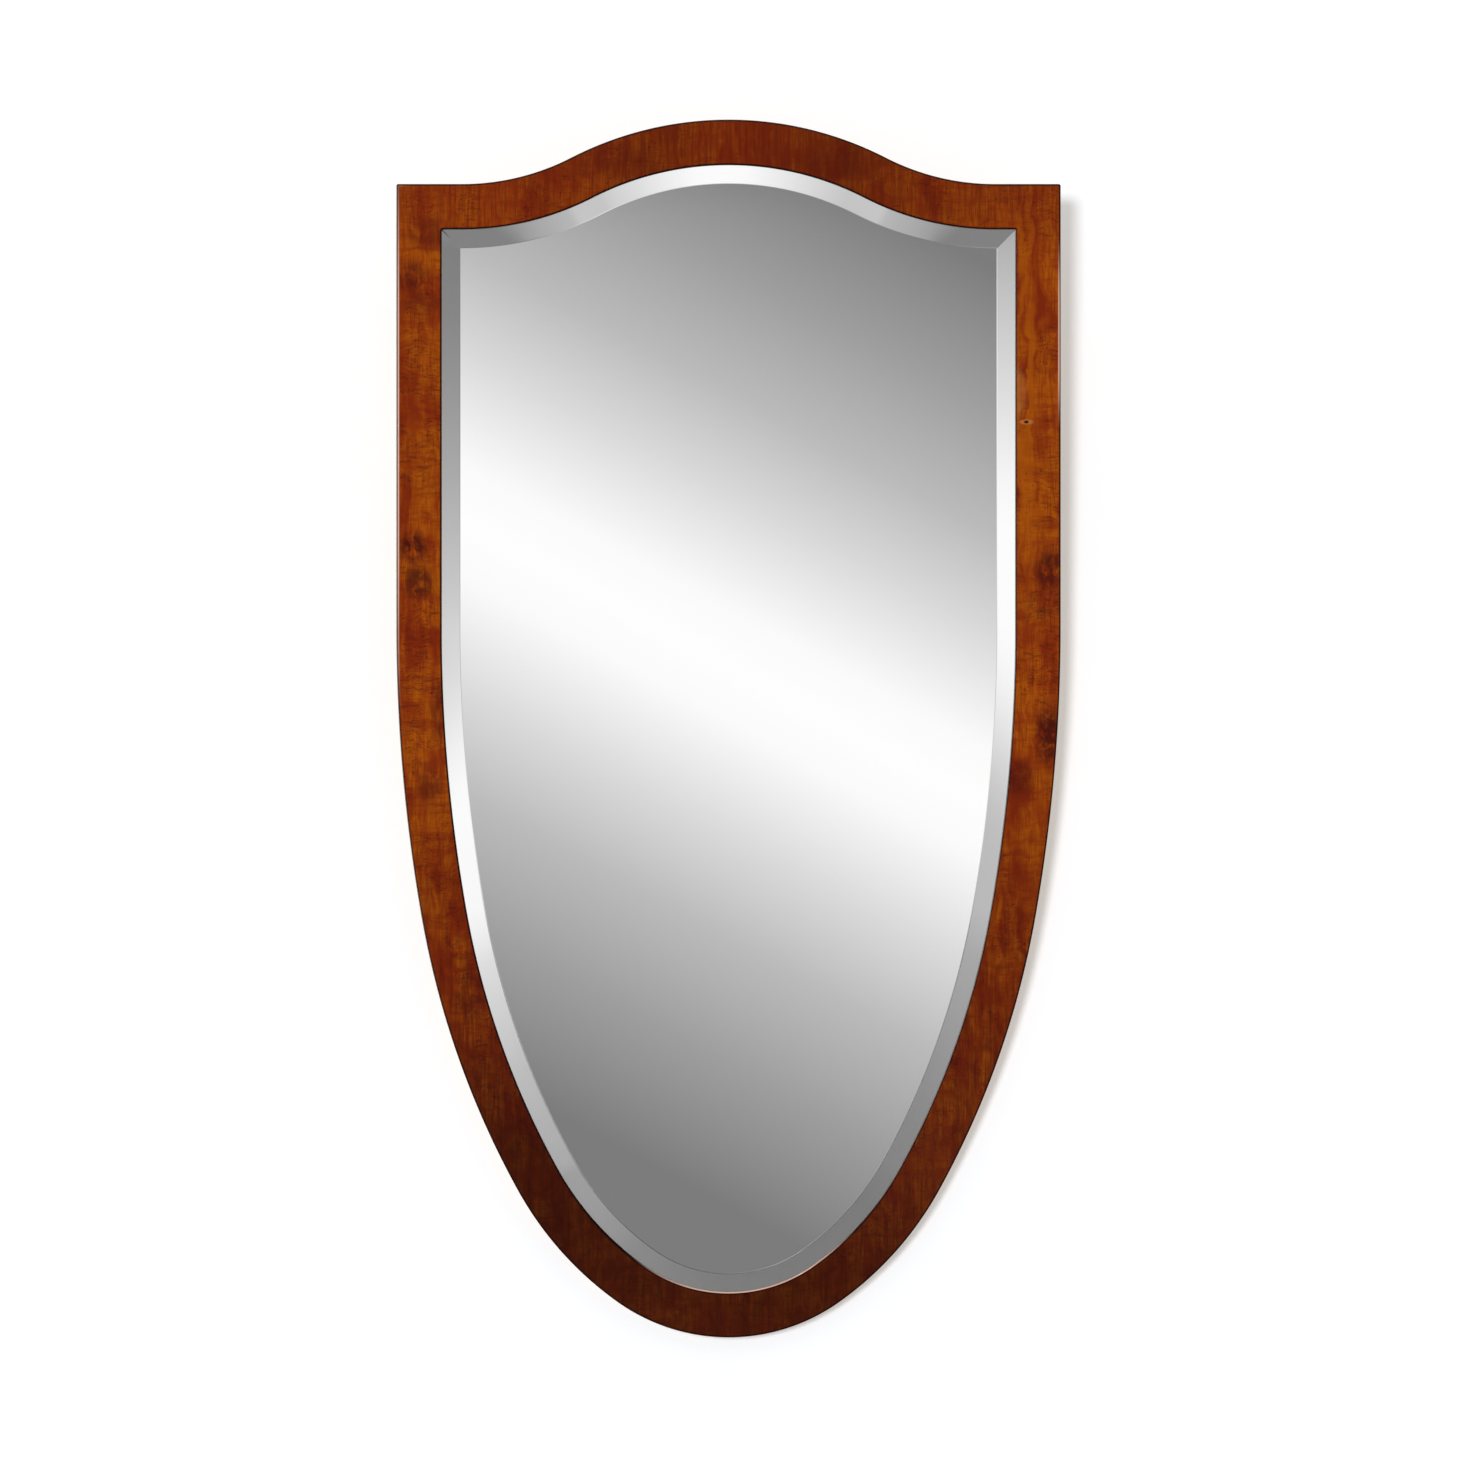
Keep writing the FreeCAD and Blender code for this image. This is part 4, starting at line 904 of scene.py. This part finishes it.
# Pale studio floor.
floor_paint, tree, surface = finish_named("pale_floor", {
    "Base Color": "f4f4f2", "Roughness": 0.9, "Specular IOR Level": 0.1})
stage_plane("floor", FLOOR_HALF, (FLOOR_FRONT, FLOOR_Z), (FLOOR_REAR, FLOOR_Z), floor_paint)


# Light: a broad lamp from the upper left in front, one from behind for the back, and an even white room.
# What the mirror shows is the room in front of it, bright along one slanting line and greyer beside it.

KEY = 1.42
KEY_WAY = (0.17, 1.0, -0.09)
BACK_KEY = 1.2
BACK_WAY = (0.5, -1.0, -0.5)
KEY_SPREAD = 9.0
AMBIENT = 0.46
GLASS_GAIN = 1.13
FRONT_LEVEL = 0.03
REAR_LEVEL = 0.7
SIDE_LIGHT = 9.0
TOP_LIGHT = 4.0


def sun(name, way, strength):
    """A distant lamp that shines in one way."""
    lamp = bpy.data.lights.new(name, "SUN")
    lamp.energy = strength
    lamp.angle = math.radians(KEY_SPREAD)
    lamp_object = bpy.data.objects.new(name, lamp)
    lamp_object.rotation_euler = mathutils.Vector(way).to_track_quat("-Z", "Y").to_euler()
    lamp_object.visible_transmission = False
    lamp_object.visible_glossy = False
    bpy.context.scene.collection.objects.link(lamp_object)


def even(level):
    """A grey of one linear level, as a shader takes it."""
    return (level, level, level, 1.0)


def greys(stops):
    """Stops of a grey ramp, from places and written levels."""
    return [(position, level * 3) for position, level in stops]


sun("key_lamp", KEY_WAY, KEY)
sun("back_lamp", BACK_WAY, BACK_KEY)
world = bpy.data.worlds.new("studio")
bpy.context.scene.world = world
world.use_nodes = True
tree = world.node_tree
tree.nodes.clear()
way = add(tree, "ShaderNodeSeparateXYZ", {"Vector": add(tree, "ShaderNodeTexCoord").outputs["Generated"]})
forward = add(tree, "ShaderNodeMath", {0: way.outputs["Y"], 1: -1.0}, operation="MULTIPLY")
forward = add(tree, "ShaderNodeMath", {0: forward, 1: 0.02}, operation="MAXIMUM")
right_slope = add(tree, "ShaderNodeMath", {0: way.outputs["X"], 1: forward}, operation="DIVIDE")
up_slope = add(tree, "ShaderNodeMath", {0: way.outputs["Z"], 1: forward}, operation="DIVIDE")
right_size = add(tree, "ShaderNodeMath", {0: right_slope}, operation="ABSOLUTE")
up_size = add(tree, "ShaderNodeMath", {0: up_slope}, operation="ABSOLUTE")

# The flat face: bright along a line that falls to the right, greyer with the distance from it.
RIDGE_FALL = 0.541
RIDGE_UP = 0.0057
RIDGE_SCALE = 19.43
RIDGE_LEVELS = ((0.0, "ff"), (0.1, "fb"), (0.3, "da"), (0.48, "bb"), (0.7, "9e"), (0.95, "7c"))
ridge = add(tree, "ShaderNodeMath", {0: right_slope, 1: RIDGE_FALL, 2: up_slope}, operation="MULTIPLY_ADD")
ridge = add(tree, "ShaderNodeMath", {0: ridge, 1: RIDGE_UP}, operation="SUBTRACT")
ridge = add(tree, "ShaderNodeMath", {0: ridge}, operation="ABSOLUTE")
ridge = add(tree, "ShaderNodeMath", {0: ridge, 1: RIDGE_SCALE}, operation="MULTIPLY")
flat_room = add(tree, "ShaderNodeValToRGB", {"Fac": ridge}, greys(RIDGE_LEVELS))

# Left of the plate the bevel shows the right of the room, and the other way round, a little further out
# where it is steeper. The ramps go upwards, and the slopes of the way are scaled to fill them.
SIDE_SCALE = 20.0
RIGHT_LIMITS = (0.1125, 0.1335)
LEFT_LIMITS = (-0.114, -0.135)
LEFT_FOOT_LIMITS = (-0.114, -0.121)
LEFT_FOOT_LEVELS = (0.5, 0.68)
RIGHT_NEAR = ((0.0, "fc"), (0.2, "d1"), (0.345, "ba"), (0.47, "a7"), (0.617, "93"), (0.753, "82"),
              (0.87, "7a"), (0.97, "94"))
RIGHT_FAR = ((0.22, "ff"), (0.3, "f0"), (0.36, "de"), (0.49, "cc"), (0.6, "bb"), (0.7, "b1"), (0.97, "a0"))
LEFT_NEAR = ((0.0, "f0"), (0.18, "fe"), (0.36, "ff"), (0.45, "f8"), (0.6, "e0"), (0.88, "b1"), (0.98, "84"))
LEFT_FAR = ((0.18, "ca"), (0.25, "b8"), (0.34, "a6"), (0.455, "9c"), (0.6, "8c"), (0.72, "82"), (0.95, "7a"))
up_level = add(tree, "ShaderNodeMath", {0: up_slope, 1: SIDE_SCALE}, operation="MULTIPLY")
right_near, right_far, left_near, left_far = [
    add(tree, "ShaderNodeValToRGB", {"Fac": up_level}, greys(levels))
    for levels in (RIGHT_NEAR, RIGHT_FAR, LEFT_NEAR, LEFT_FAR)]
left_room = passing(tree, right_slope, *LEFT_LIMITS, left_near, left_far)
left_foot = passing(tree, right_slope, *LEFT_FOOT_LIMITS, left_near, left_far)
left_room = passing(tree, up_level, *LEFT_FOOT_LEVELS, left_room, left_foot)
right_room = passing(tree, right_slope, *RIGHT_LIMITS, right_near, right_far)

# The top bevel shows the low part of the room, brightest in the middle and dull in the corners; the bevel
# round the foot shows the high part.
ROOM_MIDDLE = 0.003
LOW_LEVELS = ((0.0, "ff"), (0.2, "fd"), (0.44, "ee"), (0.7, "da"), (0.96, "c6"))
CORNER_SCALE = -7.0
CORNER_LEVELS = ((0.658, "b8"), (0.854, "a8"), (0.9, "9f"), (0.912, "98"), (0.918, "90"), (0.929, "80"))
CORNER_LIMITS = (-0.088, -0.096)
FOOT_SCALE = 3.0
FOOT_LEVELS = ((0.19, "75"), (0.29, "73"), (0.39, "74"), (0.5, "75"), (0.59, "78"), (0.68, "7c"),
               (0.777, "83"), (0.815, "90"), (0.86, "9a"))
from_middle = add(tree, "ShaderNodeMath", {0: right_slope, 1: ROOM_MIDDLE}, operation="SUBTRACT")
from_middle = add(tree, "ShaderNodeMath", {0: from_middle}, operation="ABSOLUTE")
low_level = add(tree, "ShaderNodeMath", {0: from_middle, 1: SIDE_SCALE}, operation="MULTIPLY")
low_room = add(tree, "ShaderNodeValToRGB", {"Fac": low_level}, greys(LOW_LEVELS))
corner_level = add(tree, "ShaderNodeMath", {0: up_slope, 1: CORNER_SCALE}, operation="MULTIPLY")
low_corners = add(tree, "ShaderNodeValToRGB", {"Fac": corner_level}, greys(CORNER_LEVELS))
low_room = passing(tree, up_slope, *CORNER_LIMITS, low_room, low_corners)

# The parts of the room, each beyond its own slopes, and the rest of the room far to the sides.
BEYOND_RIGHT = (0.045, 0.06)
BEYOND_LEFT = (-0.045, -0.06)
BELOW = (-0.058, -0.062)
ABOVE = (0.045, 0.06)
FAR_OUT = (0.16, 0.5)
WIDE_LEVELS = ((0.0, "8f"), (0.45, "bc"), (0.6, "e6"), (1.0, "ff"))
room = passing(tree, right_slope, *BEYOND_RIGHT, flat_room, right_room)
room = passing(tree, right_slope, *BEYOND_LEFT, room, left_room)
room = passing(tree, up_slope, *BELOW, room, low_room)
foot_level = add(tree, "ShaderNodeMath", {0: right_slope, 1: FOOT_SCALE, 2: 0.5}, operation="MULTIPLY_ADD")
foot_room = add(tree, "ShaderNodeValToRGB", {"Fac": foot_level}, greys(FOOT_LEVELS))
room = passing(tree, up_slope, *ABOVE, room, foot_room)
height = add(tree, "ShaderNodeMath", {0: way.outputs["Z"], 1: 0.5, 2: 0.5}, operation="MULTIPLY_ADD")
wide_room = add(tree, "ShaderNodeValToRGB", {"Fac": height}, greys(WIDE_LEVELS))
slant = add(tree, "ShaderNodeMath", {0: right_size, 1: up_size}, operation="MAXIMUM")
room = passing(tree, slant, *FAR_OUT, room, wide_room)

# Polish and brass see a quiet room in front and a pale one behind, a tall soft light at the left, and one
# above.
polish_room = passing(tree, way.outputs["Y"], -0.1, 0.3, even(FRONT_LEVEL), even(REAR_LEVEL))
at_left = add(tree, "ShaderNodeMapRange", {"Value": way.outputs["X"], "From Min": -0.5, "From Max": -0.7},
              interpolation_type="SMOOTHSTEP")
tall = add(tree, "ShaderNodeMapRange", {"Value": way.outputs["Z"], "From Min": -0.3, "From Max": -0.1},
           interpolation_type="SMOOTHSTEP")
tall_left = add(tree, "ShaderNodeMath", {0: at_left, 1: tall}, operation="MULTIPLY")
polish_room = passing(tree, way.outputs["Y"], -0.1, -0.25, polish_room, even(SIDE_LIGHT), 1.0, tall_left)
above = add(tree, "ShaderNodeMapRange", {"Value": way.outputs["Z"], "From Min": 0.7, "From Max": 0.8},
            interpolation_type="SMOOTHSTEP")
polish_room = passing(tree, way.outputs["Y"], 0.16, 0.04, polish_room, even(TOP_LIGHT), 1.0, above)

# The camera itself sees white, the glass sees the mirrored room, and all else is lit evenly.
ray = add(tree, "ShaderNodeLightPath").outputs
lit = add(tree, "ShaderNodeBackground", {"Color": "ffffff", "Strength": AMBIENT})
polished = add(tree, "ShaderNodeBackground", {"Color": polish_room, "Strength": 1.0})
mirrored = add(tree, "ShaderNodeBackground", {"Color": room, "Strength": GLASS_GAIN})
white = add(tree, "ShaderNodeBackground", {"Color": "ffffff", "Strength": 1.0})
sky = add(tree, "ShaderNodeMixShader", {0: ray["Is Glossy Ray"], 1: lit, 2: polished})
sky = add(tree, "ShaderNodeMixShader", {0: ray["Is Transmission Ray"], 1: sky, 2: mirrored})
sky = add(tree, "ShaderNodeMixShader", {0: ray["Is Camera Ray"], 1: sky, 2: white})
add(tree, "ShaderNodeOutputWorld", {"Surface": sky})


# Camera: level with the middle of the picture and square to the mirror, far off, as the photograph is. Its
# lens is set so that the object's face has the size in the picture that it has in the photograph.

PICTURE_SIZE = 1457
PIXEL = 0.9031
CAMERA_DISTANCE = 10.0
CAMERA_Z = -0.2318
FAR_CLIP = 100.0
SENSOR = 36.0

camera = bpy.data.cameras.new("camera")
camera.sensor_width = SENSOR
camera.lens = SENSOR * CAMERA_DISTANCE / (PICTURE_SIZE * PIXEL * MM)
camera.clip_end = FAR_CLIP
camera_object = bpy.data.objects.new("camera", camera)
camera_object.location = (0.0, FACE_Y * MM - CAMERA_DISTANCE, CAMERA_Z)
camera_object.rotation_euler = (math.pi / 2, 0.0, 0.0)
bpy.context.scene.collection.objects.link(camera_object)
bpy.context.scene.camera = camera_object
bpy.context.scene.view_settings.view_transform = "Standard"
